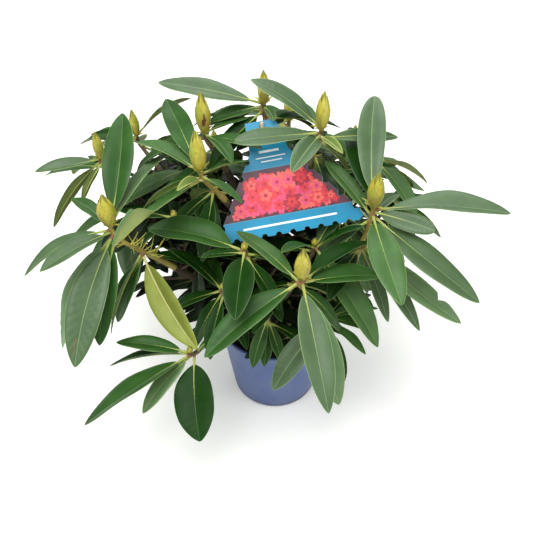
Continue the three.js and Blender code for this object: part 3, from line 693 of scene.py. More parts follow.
def hidesCard(points):
    # the label stays in full sight from the front
    room = twigForm["cardRoom"]
    toCard = cardPlace.inverted()
    local = (np.c_[points * mm, np.ones(len(points))] @ np.array(toCard).T)[:, :3] / mm
    eye = np.array(toCard @ (Vector(viewing["eye"]) * mm)) / mm
    share = eye[2] / (eye[2] - local[:, 2] + 1e-9)
    x, y, _ = (eye + (local - eye) * share[:, None]).T
    inside = np.abs(x + cardForm["slant"] * y) < [cardHalf(level) + room for level in y]
    inside &= (y > cardFoot - room) & (y < cardTop + room)
    return bool(np.any(inside & (local[:, 2] > -twigForm["cardBehind"])))


def hasRoom(points, taken):
    form = twigForm
    away = points - np.array(form["middle"])
    q = away / np.array(form["reach"])
    deep = away @ unit(np.array(viewing["aim"], float) - np.array(viewing["eye"]))
    if np.max(np.sum(q * q, axis=1)) > form["inside"] ** 2 or np.min(deep) < form["front"]:
        return False
    if np.min(points[:, 2]) < form["lowest"] or hidesCard(points):
        return False
    near = taken[np.all(np.abs(taken - points.mean(0)) < form["nearby"], axis=1)]
    gaps = np.linalg.norm(near[:, None] - points[None], axis=2)
    return gaps.size == 0 or gaps.min() > form["room"]


def growTwigs():
    form, draw = twigForm, seeded(303)
    taken = np.concatenate([leafPoints(leaf) for leaf in leaves]
                           + [limb["curve"]["at"](np.linspace(0, 1, 40)) for limb in limbs.values()]
                           + [stem["at"](np.linspace(0, 1, 20)) for stem in stems])
    bearers = [limb["curve"] for name, limb in limbs.items() if name != "trunk"]
    twigs, inner = [], []
    places = [(curve["at"](share), k) for curve in bearers for share in form["shares"]
              for k in range(form["around"])]
    for base, k in places:
        heading = fullTurn * (k + draw()) / form["around"]
        out = direction(heading, math.radians(form["rise"] * draw()))
        end = base + out * mix(form["length"], draw())
        turn, kept = 360 * draw(), []
        for i in range(form["leaves"]):
            wanted = (turn + 360 * i / form["leaves"] + form["leafTurn"] * draw(),
                      mix(form["leafPitch"], draw()), mix(form["leafLength"], draw()))
            leaf = leafFrom(wanted, end - out * form["leafStep"] * i, [draw() for _ in range(4)])
            leaf["sway"] = bladeForm["sway"] * (2 * draw() - 1)
            points = leafPoints(leaf)[form["footProbes"]:]
            if hasRoom(points, taken):
                kept.append(leaf)
                taken = np.concatenate([taken, points])
        if kept:
            inner += kept
            twigs.append(dict(curve=bezier(base, (base + end) / 2 - upward * form["sag"], end), out=out))
    return twigs, inner


# the leaves' pieces, one for each shade

# tones dealt out leaf by leaf, partly the leaves' own and partly painted: deep adds painted shade inside and
# low in the crown, grey and pale add painted light and sheen
shades = {
    "d": dict(name="deep", upper=("153a08", "102f06"), under=("66793c", "5b6d35"), rib=("46642d", "3c5825"),
              gloss=0.12),
    "m": dict(name="mid", upper=("2c541c", "254817"), under=("7d8e4c", "718143"), rib=("5f7d42", "527037"),
              gloss=0.25),
    "f": dict(name="lighter", upper=("3d622b", "345524"), under=("8b9a58", "7f8e4e"), rib=("728d4e", "668144"),
              gloss=0.35),
    "g": dict(name="grey", upper=("445f39", "3b5431"), under=("93a068", "86945c"), rib=("7d9462", "70885a"),
              gloss=0.45),
    # pale is a painted sheen, for leaves that lie in shade
    "p": dict(name="pale", upper=("5f7d52", "557348"), under=("9aa670", "8d9a64"), rib=("93a874", "869c68"),
              gloss=0.45),
    "y": dict(name="young", upper=("6a7f3c", "5c7133"), under=("8d983f", "808b37"), rib=("b3b765", "a6ab59"),
              gloss=0.35),
}
vary = seeded(77)
bladeHeaps = {letter: newHeap() for letter in shades}
stalkHeap, innerHeap, twigHeap = newHeap(), newHeap(), newHeap()
for leaf in leaves:
    letter = leaf["shade"]
    leaf["sway"] = bladeForm["sway"] * (2 * vary() - 1)
    leaf.update(features.get(leaf["key"], {}))
    stations = bladeForm["lowerStations" if leaf["key"][1] else "stations"]
    addLeaf(bladeHeaps[letter], leaf, vary, stations)
    addStalk(stalkHeap, leaf, 2 if letter == "y" else 0, stalkForm["sides"], stalkForm["rings"])
twigs, innerLeaves = growTwigs()
for leaf in innerLeaves:
    addLeaf(innerHeap, leaf, vary, twigForm["stations"], twigForm["columns"])
    addStalk(twigHeap, leaf, 0, stalkForm["innerSides"], stalkForm["innerRings"])
for twig in twigs:  # each ends in a small bud
    t = np.linspace(0, 1, twigForm["rings"])
    addTube(twigHeap, twig["curve"]["at"](t), mix(twigForm["thick"], t), twigForm["sides"], 1)
    bud = [twig["curve"]["at"](1.0) + twig["out"] * h for h in twigForm["budHeights"]]
    addTube(twigHeap, bud, twigForm["budGirths"], twigForm["sides"], 0)
print("finer twigs:", len(twigs), "with", len(innerLeaves), "leaves")

scarFinish = finish("leafScar", ("7a5a3a", "6a4a30"), 200, 900, (0.6, 0.8))
underFinishes = {}
for letter, look in shades.items():
    name = look["name"]
    upper = finish(name + "Upper", look["upper"], 45, 700, (0.4, 0.54), 0.12, 0.0003, specular=look["gloss"])
    under = finish(name + "Under", look["under"], 60, 800, (0.5, 0.7), 0.15, 0.0003)
    rib = finish(name + "Rib", look["rib"], 120, 900, (0.45, 0.6), specular=0.3)
    underFinishes[letter] = under
    stands = sorted({"shoot_" + leaf["key"][0] for leaf in leaves if leaf["shade"] == letter})
    pieceFrom(bladeHeaps[letter], name + "Leaves", [upper, under, rib, rib, scarFinish], stands)
# the finer twigs' leaves are painted near black: painted shade for the inside of the crown
innerShadedUpper = finish("innerShadedUpper", ("10240a", "0c1c08"), 45, 700, (0.45, 0.6), 0.12, 0.0003, specular=0.25)
innerShadedRib = finish("innerShadedRib", ("33501f", "2b451a"), 120, 900, (0.5, 0.65), specular=0.2)
pieceFrom(innerHeap, "innerLeaves", [innerShadedUpper, underFinishes["d"], innerShadedRib, innerShadedUpper])
stalkTones = {"leafStalk": ("a3ac55", "8f9c4a"), "stalkFoot": ("8e6a3c", "7d5434"),
              "paleRib": ("cdc98c", "c0bb7c")}
pieceFrom(stalkHeap, "leafStalks", finishes(stalkTones, 150, 900, (0.4, 0.6)))
pieceFrom(twigHeap, "innerTwigs", [
    # a darker stalk tone than the outer ones: painted shade inside the crown
    finish("innerShadedStalk", ("5d6a34", "4d582b"), 150, 900, (0.5, 0.7)),
    finish("innerWood", ("4a3b2a", "3a2e22"), 90, 600, (0.7, 0.9)),
])
print("leaves made")

# flower buds of overlapping scales

budForm = {
    "scales": 21, "smallScales": 8, "turn": 137.5, "jitter": 10, "wrap": 47, "rows": 9, "cols": 9,
    "proud": 0.7, "smallProud": 0.6, "keel": 0.55, "thickness": 0.35, "low": (-0.05, 0.52),
    "tall": (0.5, 0.48), "overStem": 0.8, "slim": (0.88, 0.97),
    "heights": (-0.06, 0.0, 0.1, 0.25, 0.4, 0.55, 0.7, 0.82, 0.92, 1.0),
    "girths": (0.36, 0.48, 0.7, 0.93, 1.0, 0.9, 0.66, 0.4, 0.17, 0.02),
    "core": (-0.06, 0.98, 14), "coreShare": 0.96, "coreSides": 12, "footRanks": 0.16,
    # one bud has a dark blotch on the side that faces this way
    "blotched": "top_left", "blotchWay": (-0.35, -0.94, 0), "blotchTurn": 0.75, "blotchRanks": (0.1, 0.5),
}
scaleTones = {"budYellow": ("b3aa38", "a39a2f"), "budGreen": ("a1a438", "919530"),
              "budPale": ("bfb64f", "afa643")}
dullTones = {"budCore": ("8e8c32", "7f7d2c"), "budMargin": ("948d38", "847d2f"),
             "budFoot": ("a39a40", "928736")}
coreMat, marginMat, footMat, blotchMat = range(3, 7)  # the scales' own tones come first


def budAxes(shoot):
    tip = shoot["tip"]
    lean = unit(np.array([tip[0], tip[1], plant["budUpright"]]))
    east = unit(np.array([1.0, 0, 0]) - lean * lean[0])
    return tip, lean, east, np.cross(lean, east)


def budGirth(shoot, h):
    form, plump = budForm, shoot["plump"]
    radius = max(plant["budRadius"] * shoot["bud"] * plump, plant["stemThin"] + form["overStem"])
    return np.interp(h, form["heights"], form["girths"]) * radius * form["slim"][plump > 1]


def addBud(heap, shoot, draw):
    form = budForm
    tip, lean, east, north = budAxes(shoot)
    length = plant["budLength"] * shoot["bud"]
    core = np.linspace(*form["core"])
    girths = budGirth(shoot, core) * form["coreShare"]
    addTube(heap, tip + lean * (core * length)[:, None], girths, form["coreSides"], coreMat)
    count = form["smallScales" if shoot["small"] else "scales"]
    proud = form["proud"] * (form["smallProud"] if shoot["small"] else shoot["bud"])
    first = 360 * draw()
    b = np.linspace(0, 1, form["rows"])[:, None]
    a = np.linspace(-1, 1, form["cols"])[None, :]
    wide = np.maximum((1 - b ** 2.4) ** 0.65, 0.03) * (0.85 + 0.15 * np.sin(math.pi * b))
    for i in range(count):
        rank = i / (count - 1)
        middle = math.radians(first + form["turn"] * i + form["jitter"] * (draw() - 0.5))
        height = mix(form["low"], rank) + mix(form["tall"], rank) * b * (1 - 0.1 * a ** 2)
        turn = middle + math.radians(form["wrap"]) * a * wide
        keel = form["keel"] * (1 - np.abs(a)) * proud
        out = budGirth(shoot, height) + proud * (0.15 + b + 0.2 * b ** 6) + keel
        ring = np.cos(turn)[..., None] * east + np.sin(turn)[..., None] * north
        outer = tip + lean * (height * length)[..., None] + ring * out[..., None]
        pick = 0 if draw() < 0.5 else 1 if draw() < 0.6 else 2
        mats = np.full((form["rows"] - 1, form["cols"] - 1), footMat if rank < form["footRanks"] else pick)
        mats[:, [0, -1]] = marginMat
        facing = ring[0, form["cols"] // 2] @ np.array(form["blotchWay"])
        ranks = form["blotchRanks"]
        if shoot["name"] == form["blotched"] and ranks[0] < rank < ranks[1] and facing > form["blotchTurn"]:
            mats[2:5, 2:6] = blotchMat
            mats[4:7, 3:5] = blotchMat
        inner = outer - ring * form["thickness"]
        addShell(heap, outer[:, ::-1], inner[:, ::-1], mats[:, ::-1], coreMat, marginMat)


# loose bracts and leftover stalks at the feet of the buds

bractForm = {
    "count": 5, "rows": 7, "cols": 5, "length": (8, 15), "width": 3.2, "droop": -0.3, "cup": 0.35,
    "thickness": 0.35, "outward": (0.7, 1.2), "upright": (0.5, 1.1), "off": 2.0, "sunk": 1.5,
}
stubForm = {
    "count": 4, "length": (7, 15), "down": (14, 46), "thick": (0.8, 0.35), "rise": (0.15, 0.65), "off": 2,
    "bend": 0.3, "yellow": 0.7, "rings": 7, "sides": 6,
    "own": {"left": dict(count=34, length=(9, 21), down=(22, 84)), "front": dict(count=8),
            "middle": dict(count=8), "right": dict(count=7)},
}


def addBract(heap, base, along, face, length, droop, mat):
    form = bractForm
    t = np.linspace(0, 1, form["rows"])
    line = base + along * (length * t)[:, None] + face * (length * droop * t ** 2)[:, None]
    half = form["width"] / 2 * np.sin(math.pi * (0.12 + 0.86 * t)) ** 0.8
    x = half[:, None] * np.linspace(-1, 1, form["cols"])
    lift = form["cup"] * np.abs(x)
    outer = line[:, None] + np.cross(along, face) * x[..., None] + face * lift[..., None]
    addShell(heap, outer, outer - face * form["thickness"], mat, mat, mat)


def addBracts(heap, shoot, draw):
    form = bractForm
    tip, lean, east, north = budAxes(shoot)
    for i in range(form["count"]):
        turn = fullTurn * (i + draw()) / form["count"]
        out = east * math.cos(turn) + north * math.sin(turn)
        along = unit(out * mix(form["outward"], draw()) + lean * mix(form["upright"], draw()))
        face = unit(lean - along * (lean @ along))
        base = tip + out * form["off"] - lean * form["sunk"]
        addBract(heap, base, along, face, mix(form["length"], draw()), form["droop"] * draw(), i % 2)


def addStubs(heap, shoot, stem, draw):
    # curved leftover stalks that stand off the stem
    form = {**stubForm, **stubForm["own"].get(shoot["name"], {})}
    t = np.linspace(0, 1, form["rings"])
    for _ in range(form["count"]):
        foot = stem["at"](1 - mix(form["down"], draw()) / stem["length"])
        turn = fullTurn * draw()
        out = unit(np.array([math.cos(turn), math.sin(turn), mix(form["rise"], draw())]))
        long = mix(form["length"], draw())
        bend = long * (draw() - form["bend"])
        line = foot + out * (form["off"] + long * t)[:, None] + upward * (bend * t ** 2)[:, None]
        addTube(heap, line, mix(form["thick"], t), form["sides"], 0 if draw() < form["yellow"] else 1)


budHeap, bractHeap = newHeap(), newHeap()
vary = seeded(131)
for shoot, stem in zip(shoots, stems):
    addBud(budHeap, shoot, vary)
    if not shoot["small"]:
        addStubs(bractHeap, shoot, stem, vary)
        addBracts(bractHeap, shoot, vary)
blotch = finish("budBlush", ("5e1f16", "74301f"), 160, 900, (0.4, 0.6))
budFinishes = finishes(scaleTones, 160, 900, (0.4, 0.6), 0.1) + finishes(dullTones, 160, 900, (0.5, 0.7))
pieceFrom(budHeap, "flowerBuds", budFinishes + [blotch], sharp=50)
bractTones = {"bractYellow": ("b9b04e", "a59a42"), "bractGreen": ("8f9c40", "7d8a38")}
pieceFrom(bractHeap, "bracts", finishes(bractTones, 150, 900, (0.5, 0.7)))
print("buds made")

# young stems with scars, then old wood with bark relief

stemForm = {
    "sides": 14, "ring": 2.2, "fewest": 10, "slim": 0.78, "taper": 1.6, "under": 0.02, "footDrop": 1.2,
    "scar": 0.55, "scarReach": 3.5, "firstScar": 14, "scarBelow": 16, "relief": 0.05, "lump": 0.07,
    "seed": 3.7, "young": ("left", "front", "right", "middle"),
}
barkForm = {
    "sides": 18, "ring": 2.6, "fewest": 12, "relief": 0.11, "lump": 0.08, "seed": 5.3, "collar": 0.5,
    "collarReach": 7, "trunk": dict(sides=30, relief=0.154),
}
ridgeScale, lumpScale = (2.6, 0.045), (1.1, 0.16)  # around and along a limb


def addLimb(heap, centres, radius, form, seed, mat=0):
    # a tube with ridges that run along it, broken by lumps
    def rough(turn, along, scale, start):
        x, y = math.cos(turn) * scale[0], math.sin(turn) * scale[0]
        return noise.noise(Vector((x, y, along * scale[1] + start)))
    radii = [[r * (1 + form["relief"] * rough(turn, along, ridgeScale, seed)
                   + form["lump"] * rough(turn, along, lumpScale, seed * 2))
              for turn in roundTurns(form["sides"])] for along, r in zip(runAlong(centres), radius)]
    addTube(heap, centres, radii, form["sides"], mat)


def makeStems():
    form, heap = stemForm, newHeap()
    for index, (shoot, stem) in enumerate(zip(shoots, stems)):
        t = np.linspace(-form["under"], 1, max(form["fewest"], int(stem["length"] / form["ring"])))
        centres = stem["at"](np.clip(t, 0, 1))
        centres[0] -= unit(centres[2] - centres[1]) * form["footDrop"]
        girths = (plant["stemThick"], plant["stemThin"] * form["slim"])
        radius = mix(girths, np.clip(t * form["taper"], 0, 1))
        # scars of old scales swell the stem below each whorl
        for down in [form["firstScar"]] + [low + form["scarBelow"] for low, _ in shoot["whorls"][1:]]:
            away = (1 - t) * stem["length"] - down
            radius = radius + form["scar"] * np.exp(-(away / form["scarReach"]) ** 2)
        # stems behind the four in front take the darker tone, partly older wood and partly painted shade
        # inside the crown
        mat = 0 if shoot["name"] in form["young"] else 1
        addLimb(heap, centres, radius, form, index * form["seed"], mat)
    tones = {"youngStem": ("95893e", "7b6a2f"), "olderShadedStem": ("5d5330", "4a3f27")}
    nodes = ["shoot_" + shoot["name"] for shoot in shoots]
    pieceFrom(heap, "youngStems", finishes(tones, 70, 500, (0.55, 0.75), 0.25, 0.0004), nodes)


def makeBark():
    heap = newHeap()
    for index, (name, limb) in enumerate(limbs.items()):
        form = {**barkForm, **barkForm.get(name, {})}
        curve = limb["curve"]
        t = np.linspace(0, 1, max(form["fewest"], int(curve["length"] / form["ring"])))
        radius = limbGirth(limb, t)
        if "bearer" in limb:  # a swollen collar where the bough leaves its bearer
            away = t * curve["length"] - limbGirth(limb["bearer"], limb["share"])
            radius = radius * (1 + form["collar"] * np.exp(-np.maximum(away, 0) / form["collarReach"]))
        addLimb(heap, curve["at"](t), radius, form, index * form["seed"])
    streaks = {"Streak": tone("211913"), "Across Scale": 420, "Along Scale": 60, "Strength": 0.55}
    dirt = {"Dirt": tone("1d1613"), "Full At": 110 * mm, "Gone At": 128 * mm, "Strength": 0.8, "Scale": 120}
    bark = finish("bark", ("483827", "362a20"), 60, 420, (0.75, 0.95), 0.5, 0.0008, streaks=streaks,
                  dirt=dirt)
    pieceFrom(heap, "bark", [bark], list(limbs))


makeStems()
makeBark()
print("stems and bark made")

# pot: a turned wall with a rolled lip and drain notches under its foot

potForm = {
    "rim": 75, "base": 57, "height": 125, "wall": 2.2, "floor": 4, "foot": 7, "lip": 1.6, "lipDepth": 7,
    "lipRound": 1.6, "outerStops": (30, 60, 90), "innerStops": (90, 50), "corner": (2, 1), "segments": 120,
    "notches": 6, "notchWidth": 15, "notchHeight": 3.8, "notchDepth": 12, "notchUnder": 3,
}


def wallRadius(z):
    return mix((potForm["base"], potForm["rim"]), z / potForm["height"])


def potProfile():
    # radius and height, from the underside out, up and over the lip, then down inside
    form = potForm
    rim, base, foot, top = form["rim"], form["base"], form["foot"], form["height"]
    lip, lipFoot = rim + form["lip"], top - form["lipDepth"]
    profile = [(base - foot, 0)]
    for q in np.linspace(0.15, 1, 7):  # the rounded foot
        r = (1 - q) ** 2 * (base - foot) + 2 * q * (1 - q) * base + q * q * wallRadius(foot)
        profile.append((r, q * q * foot))
    profile += [(wallRadius(z), z) for z in (*form["outerStops"], lipFoot - 0.4)]
    profile += [(wallRadius(lipFoot) + 0.5, lipFoot), (lip - 0.4, lipFoot + 0.9),
                (lip, lipFoot + form["lipRound"]), (lip, top - form["lipRound"]), (lip - 0.5, top - 0.5),
                (rim + 0.3, top), (rim - 1.5, top), (rim - form["wall"], top - 0.7)]
    rise, inset = form["corner"]
    profile += [(wallRadius(z) - form["wall"], z) for z in (*form["innerStops"], form["floor"] + rise)]
    return np.array(profile + [(wallRadius(form["floor"]) - form["wall"] - inset, form["floor"])])


def notchBlocks():
    form, heap = potForm, newHeap()
    deep, wide = form["notchDepth"] / 2, form["notchWidth"] / 2
    for i in range(form["notches"]):
        turn = -math.pi / 2 + fullTurn * i / form["notches"]
        out, side = direction(turn, 0), direction(turn + math.pi / 2, 0)
        corners = [out * (form["base"] + x) + side * y + upward * z
                   for z in (-form["notchUnder"], form["notchHeight"])
                   for x, y in ((-deep, -wide), (deep, -wide), (deep, wide), (-deep, wide))]
        addFaces(heap, corners, ringFaces(2, 4), 0)
    return meshFrom(heap, "notches")


def evaluated(item):
    # the mesh that an object makes with its modifiers or its curve
    bpy.context.view_layer.update()
    return bpy.data.meshes.new_from_object(item.evaluated_get(bpy.context.evaluated_depsgraph_get()))


def makePot():
    profile, turns = potProfile(), roundTurns(potForm["segments"])
    r, z = profile[:, :1], profile[:, 1:]
    heap = newHeap()
    rings = np.stack([r * np.cos(turns), r * np.sin(turns), z + 0 * turns], -1)
    addFaces(heap, rings, ringFaces(len(profile), len(turns)), 0)
    body = bpy.data.objects.new("potBody", meshFrom(heap, "potBody"))
    tool = bpy.data.objects.new("notches", notchBlocks())
    for item in (body, tool):
        scene.collection.objects.link(item)
    cut = body.modifiers.new("notches", "BOOLEAN")
    cut.operation, cut.solver, cut.object = "DIFFERENCE", "EXACT", tool
    mesh = evaluated(body)
    for item in (body, tool):
        bpy.data.objects.remove(item)
    mesh.materials.clear()
    dirt = {"Dirt": tone("4b3a31"), "Full At": 4 * mm, "Gone At": 15 * mm, "Strength": 1, "Scale": 140}
    plastic = finish("potPlastic", ("41568a", "55658e"), 26, 500, (0.42, 0.58), 0.06, 0.0003, dirt=dirt)
    placePiece(mesh, "nurseryPot", [plastic], ["pot"], 35)


makePot()

# peat with crumbs and fibres

soilForm = {
    "rings": 26, "sectors": 84, "gap": 0.6, "waist": 60, "edgeDrop": 1.2, "heave": 2.4,
    "heaveScale": 0.05, "heaveLevel": 3.1, "crumbs": 420, "crumbSize": (0.9, 2.2), "crumbEdge": 3,
    "crumbRound": (0.7, 1.3), "fibres": 70, "fibreEdge": 10, "fibreLength": (6, 16), "fibreLift": 0.5,
    "fibreGirths": (0.15, 0.35, 0.4, 0.4, 0.35, 0.15), "fibreSides": 5,
}
crumbCorners = np.array([(1, 0, 0), (0, 1, 0), (-1, 0, 0), (0, -1, 0), (0, 0, 0.8), (0, 0, -0.8)])
crumbFaces = [[0, 1, 4], [1, 2, 4], [2, 3, 4], [3, 0, 4], [1, 0, 5], [2, 1, 5], [3, 2, 5], [0, 3, 5]]


def soilEdge(z):
    return wallRadius(z) - potForm["wall"] - soilForm["gap"]


def onSoil(x, y, lift=0.0):
    # a place on the peat's uneven top
    p = Vector((x * soilForm["heaveScale"], y * soilForm["heaveScale"], soilForm["heaveLevel"]))
    heave = noise.noise(p) + 0.5 * noise.noise(p * 3.3) + 0.3 * noise.noise(p * 9.1)
    return np.array([x, y, plant["soilTop"] + soilForm["heave"] * heave + lift])


def makeSoil():
    form, heap, draw = soilForm, newHeap(), seeded(211)
    turns = roundTurns(form["sectors"])
    reach = soilEdge(plant["soilTop"])
    verts = [(soilEdge(z) * math.cos(a), soilEdge(z) * math.sin(a), z)
             for z in (potForm["floor"] + plant["clear"], form["waist"]) for a in turns]
    for i in range(form["rings"]):
        r, lift = reach * (1 - i / form["rings"]), 0 if i else -form["edgeDrop"]
        verts += [onSoil(r * math.cos(a), r * math.sin(a), lift) for a in turns]
    addFaces(heap, verts, ringFaces(form["rings"] + 2, form["sectors"]), 0)
    for i in range(form["crumbs"]):
        r, a = (reach - form["crumbEdge"]) * math.sqrt(draw()), fullTurn * draw()
        size = form["crumbSize"][0] + form["crumbSize"][1] * draw() ** 2
        middle = onSoil(r * math.cos(a), r * math.sin(a), size * 0.3)
        points = [middle + size * mix(form["crumbRound"], draw()) * corner for corner in crumbCorners]
        addFaces(heap, points, crumbFaces, 1 if i % 3 else 0)
    for _ in range(form["fibres"]):
        r, a, turn = (reach - form["fibreEdge"]) * math.sqrt(draw()), fullTurn * draw(), fullTurn * draw()
        long, bend = mix(form["fibreLength"], draw()), draw() - 0.5
        line = []
        for t in np.linspace(-0.5, 0.5, len(form["fibreGirths"])):
            x = r * math.cos(a) + long * (t * math.cos(turn) - bend * t * t * math.sin(turn))
            y = r * math.sin(a) + long * (t * math.sin(turn) + bend * t * t * math.cos(turn))
            line.append(onSoil(x, y, form["fibreLift"]))
        addTube(heap, line, form["fibreGirths"], form["fibreSides"], 2)
    pieceFrom(heap, "peat", [
        finish("peatDark", ("1e1713", "130f0c"), 180, 900, (0.9, 1.0), 0.6, 0.001),
        finish("peatCrumb", ("32251c", "241a14"), 220, 900, (0.9, 1.0), 0.5, 0.0006),
        finish("peatFibre", ("6b5138", "553f2b"), 220, 900, (0.8, 0.95)),
    ], ["soil"], 60)


makeSoil()
print("pot and soil made")

# label: a flared card with bites along its foot, hung by a slot on a plain stick

def slanted(x, y):
    # the card's middle line leans
    return (x - cardForm["slant"] * y, y)


def bitten(start, end, shares, radius):
    # a line with half-round bites on its left, without its end
    start, end = np.array(start), np.array(end)
    onward = unit(end - start)
    inward = np.array([-onward[1], onward[0]])
    points = [start]
    for share in shares:
        middle = start + (end - start) * share
        for a in np.linspace(math.pi, 0, cardForm["bitePoints"]):
            points.append(middle + radius * (onward * math.cos(a) + inward * math.sin(a)))
    return points


def cardLoop(inset=0.0):
    # the card's outline, drawn in by an inset, which its sloping sides widen
    radius, sideInset = cardForm["bite"] + inset, 1.3 * inset
    levels = [cardFoot + inset, cardShoulder, cardTop - inset]
    right = [slanted(cardHalf(y) - sideInset, y) for y in levels]
    left = [slanted(sideInset - cardHalf(y), y) for y in levels]
    along = [(i + 0.5) / cardForm["bites"] for i in range(cardForm["bites"])]
    rising = [i / (cardForm["sideBites"] + 0.5) for i in range(1, cardForm["sideBites"] + 1)]
    return (bitten(left[0], right[0], along, radius) + bitten(right[0], right[1], rising, radius)
            + [right[1], right[2], left[2]]
            + bitten(left[1], left[0], [1 - share for share in rising[::-1]], radius))


def between(loop, low, high):
    # the part of an outline between two heights
    for level, sign in ((low, 1), (high, -1)):
        kept = []
        for here, after in zip(loop, loop[1:] + loop[:1]):
            inHere, inAfter = sign * (here[1] - level) >= 0, sign * (after[1] - level) >= 0
            if inHere:
                kept.append(here)
            if inHere != inAfter:
                share = (level - here[1]) / (after[1] - here[1])
                kept.append((here[0] + (after[0] - here[0]) * share, level))
        loop = kept
    return loop


def slotLoop(margin=0.0):
    w, h = cardForm["slotWidth"] / 2 + margin, cardForm["slotLength"] / 2 + margin
    return [(-w, -h), (w, -h), (w, h), (-w, h)]


def flatShape(loops, thickness, level):
    # a filled outline with holes, lying flat at a level above the card's middle
    curve = bpy.data.curves.new("flat", "CURVE")
    curve.dimensions, curve.fill_mode, curve.extrude = "2D", "BOTH", thickness * mm / 2
    for loop in loops:
        spline = curve.splines.new("POLY")
        spline.points.add(len(loop) - 1)
        spline.use_cyclic_u = True
        for point, (x, y) in zip(spline.points, loop):
            point.co = (x * mm, y * mm, 0, 1)
    maker = bpy.data.objects.new("flat", curve)
    scene.collection.objects.link(maker)
    mesh = evaluated(maker)
    bpy.data.objects.remove(maker)
    shaped = bmesh.new()
    shaped.from_mesh(mesh)
    bmesh.ops.remove_doubles(shaped, verts=shaped.verts, dist=1e-6)
    bmesh.ops.recalc_face_normals(shaped, faces=shaped.faces)
    bmesh.ops.translate(shaped, verts=shaped.verts, vec=(0, 0, level * mm))
    shaped.to_mesh(mesh)
    shaped.free()
    return mesh


# the card's print: a picture of blossoms between two plain bands with bars

printForm = {
    "ink": 0.05, "inset": 0.15, "footBand": 21.5, "headBand": 53.3, "fieldGap": 0.9, "fieldEdge": 4.6,
    "fieldEnds": 1,
    "bars": [(-27, 2.6, 0.5), (-33, 1.3, 0.62), (-37.5, 1.3, 0.4), (cardFoot + 11, 2.4, 0.66)],
    # small blossoms fill the picture, and large ones lie over them
    "sheets": [dict(rise=7.5, pace=10.5, sizes=(5, 7.5), layer=2),
               dict(rise=13, pace=15, sizes=(10, 15), layer=18)],
    "shift": 3, "turn": 6.28, "smallest": 4, "petals": 5, "petalPoints": 12, "cycle": 5,
    "rings": (1, 0.6, 0.2), "ringTurns": (0, 0.2, 0.6),
}
inkTones = {
    "Blue": (40, "0d8bb3", "0b7fa6"), "Crimson": (70, "b02a3c", "9a2034"), "Red": (90, "d63c42", "c7323c"),
    "Pink": (90, "dd4f74", "d0436a"), "Plum": (70, "5a3340", "472a36"), "Coral": (90, "e4665c", "d8584f"),
    "White": (70, "e9eeee", "dde4e6"),
}
blueInk, crimsonInk, redInk, pinkInk, plumInk, coralInk, whiteInk = range(len(inkTones))
petalInks = (redInk, pinkInk, redInk, coralInk, pinkInk, crimsonInk)
throatInks = {crimsonInk: redInk, redInk: coralInk, pinkInk: redInk, coralInk: pinkInk}
fieldLow, fieldHigh = cardFoot + printForm["footBand"], cardTop - printForm["headBand"]


def blossom(x, y, size, turn):
    petals = printForm["petals"]
    points = []
    for a in roundTurns(petals * printForm["petalPoints"]):
        r = size * (0.5 + 0.42 * abs(math.cos(petals * a / 2)) ** 0.6 + 0.06 * math.sin(3 * petals * a))
        points.append((x + r * math.cos(a + turn), y + r * math.sin(a + turn)))
    return points


def inField(loop):
    # keeps a motif inside the picture
    ends, edge = printForm["fieldEnds"], printForm["fieldEdge"]
    return all(fieldLow + ends < y < fieldHigh - ends
               and abs(x + cardForm["slant"] * y) < cardHalf(y) - edge for x, y in loop)


def printShapes():
    # loops, ink and layer of everything printed
    form, draw = printForm, seeded(59)
    face, gap = cardLoop(form["inset"]), form["fieldGap"]
    shapes = [
        ([between(face, cardFoot, fieldLow)], blueInk, 0),
        ([between(face, fieldHigh, cardTop), slotLoop(form["inset"])], blueInk, 0),
        ([between(face, fieldLow + gap, fieldHigh - gap)], plumInk, 0),
    ]
    for low, tall, wide in form["bars"]:
        half = cardHalf(low) * wide
        corners = ((-half, low), (half, low), (half, low + tall), (-half, low + tall))
        shapes.append(([[slanted(x, y) for x, y in corners]], whiteInk, 1))
    for sheet in form["sheets"]:
        rise, pace, count = sheet["rise"], sheet["pace"], 0
        for row, level in enumerate(np.arange(fieldLow + rise, fieldHigh - rise / 2, rise)):
            for across in np.arange(-cardHalf(level), cardHalf(level), pace):
                size, turn = mix(sheet["sizes"], draw()), form["turn"] * draw()
                x = across + pace / 2 * (row % 2) + form["shift"] * (draw() - 0.5)
                x, y = slanted(x, level + form["shift"] * (draw() - 0.5))
                ink = petalInks[int(len(petalInks) * draw())]
                while size > form["smallest"] and not inField(blossom(x, y, size, turn)):
                    size -= 1
                if size <= form["smallest"]:
                    continue
                layer = sheet["layer"] + 3 * (count % form["cycle"])
                count += 1
                inks = (ink, throatInks[ink], crimsonInk)
                for i, (share, more) in enumerate(zip(form["rings"], form["ringTurns"])):
                    shapes.append(([blossom(x, y, size * share, turn + more)], inks[i], layer + i))
    return shapes


def makeCard():
    thick, ink = cardForm["thickness"], printForm["ink"]
    board = flatShape([cardLoop(), slotLoop()], thick, 0)
    board.transform(cardPlace)
    boardFinish = finish("cardBoard", ("4d91b0", "4587a6"), 60, 600, (0.3, 0.45), coat=0.2)
    placePiece(board, "labelCard", [boardFinish], ["label_card"])
    merged = bmesh.new()
    for loops, pick, layer in printShapes():
        mesh = flatShape(loops, ink, thick / 2 + ink * (0.5 + layer * 0.5))
        mesh.polygons.foreach_set("material_index", [pick] * len(mesh.polygons))
        merged.from_mesh(mesh)
        bpy.data.meshes.remove(mesh)
    printed = bpy.data.meshes.new("labelPrint")
    merged.to_mesh(printed)
    merged.free()
    printed.transform(cardPlace)
    inks = [finish("ink" + name, tones, patch, 700, (0.3, 0.42), coat=0.2)
            for name, (patch, *tones) in inkTones.items()]
    placePiece(printed, "labelPrint", inks)


stickForm = {
    "radius": 2, "buried": 55, "above": 9, "sides": 12, "relief": 0.03, "lump": 0.02, "seed": 4.4,
    "footHeights": (0, 4), "footShares": (0.2, 0.95), "straight": (20, 8, 24),
    "headDrops": (2, 0.7, 0.15, 0), "headShares": (0.98, 0.86, 0.55, 0.2),
}


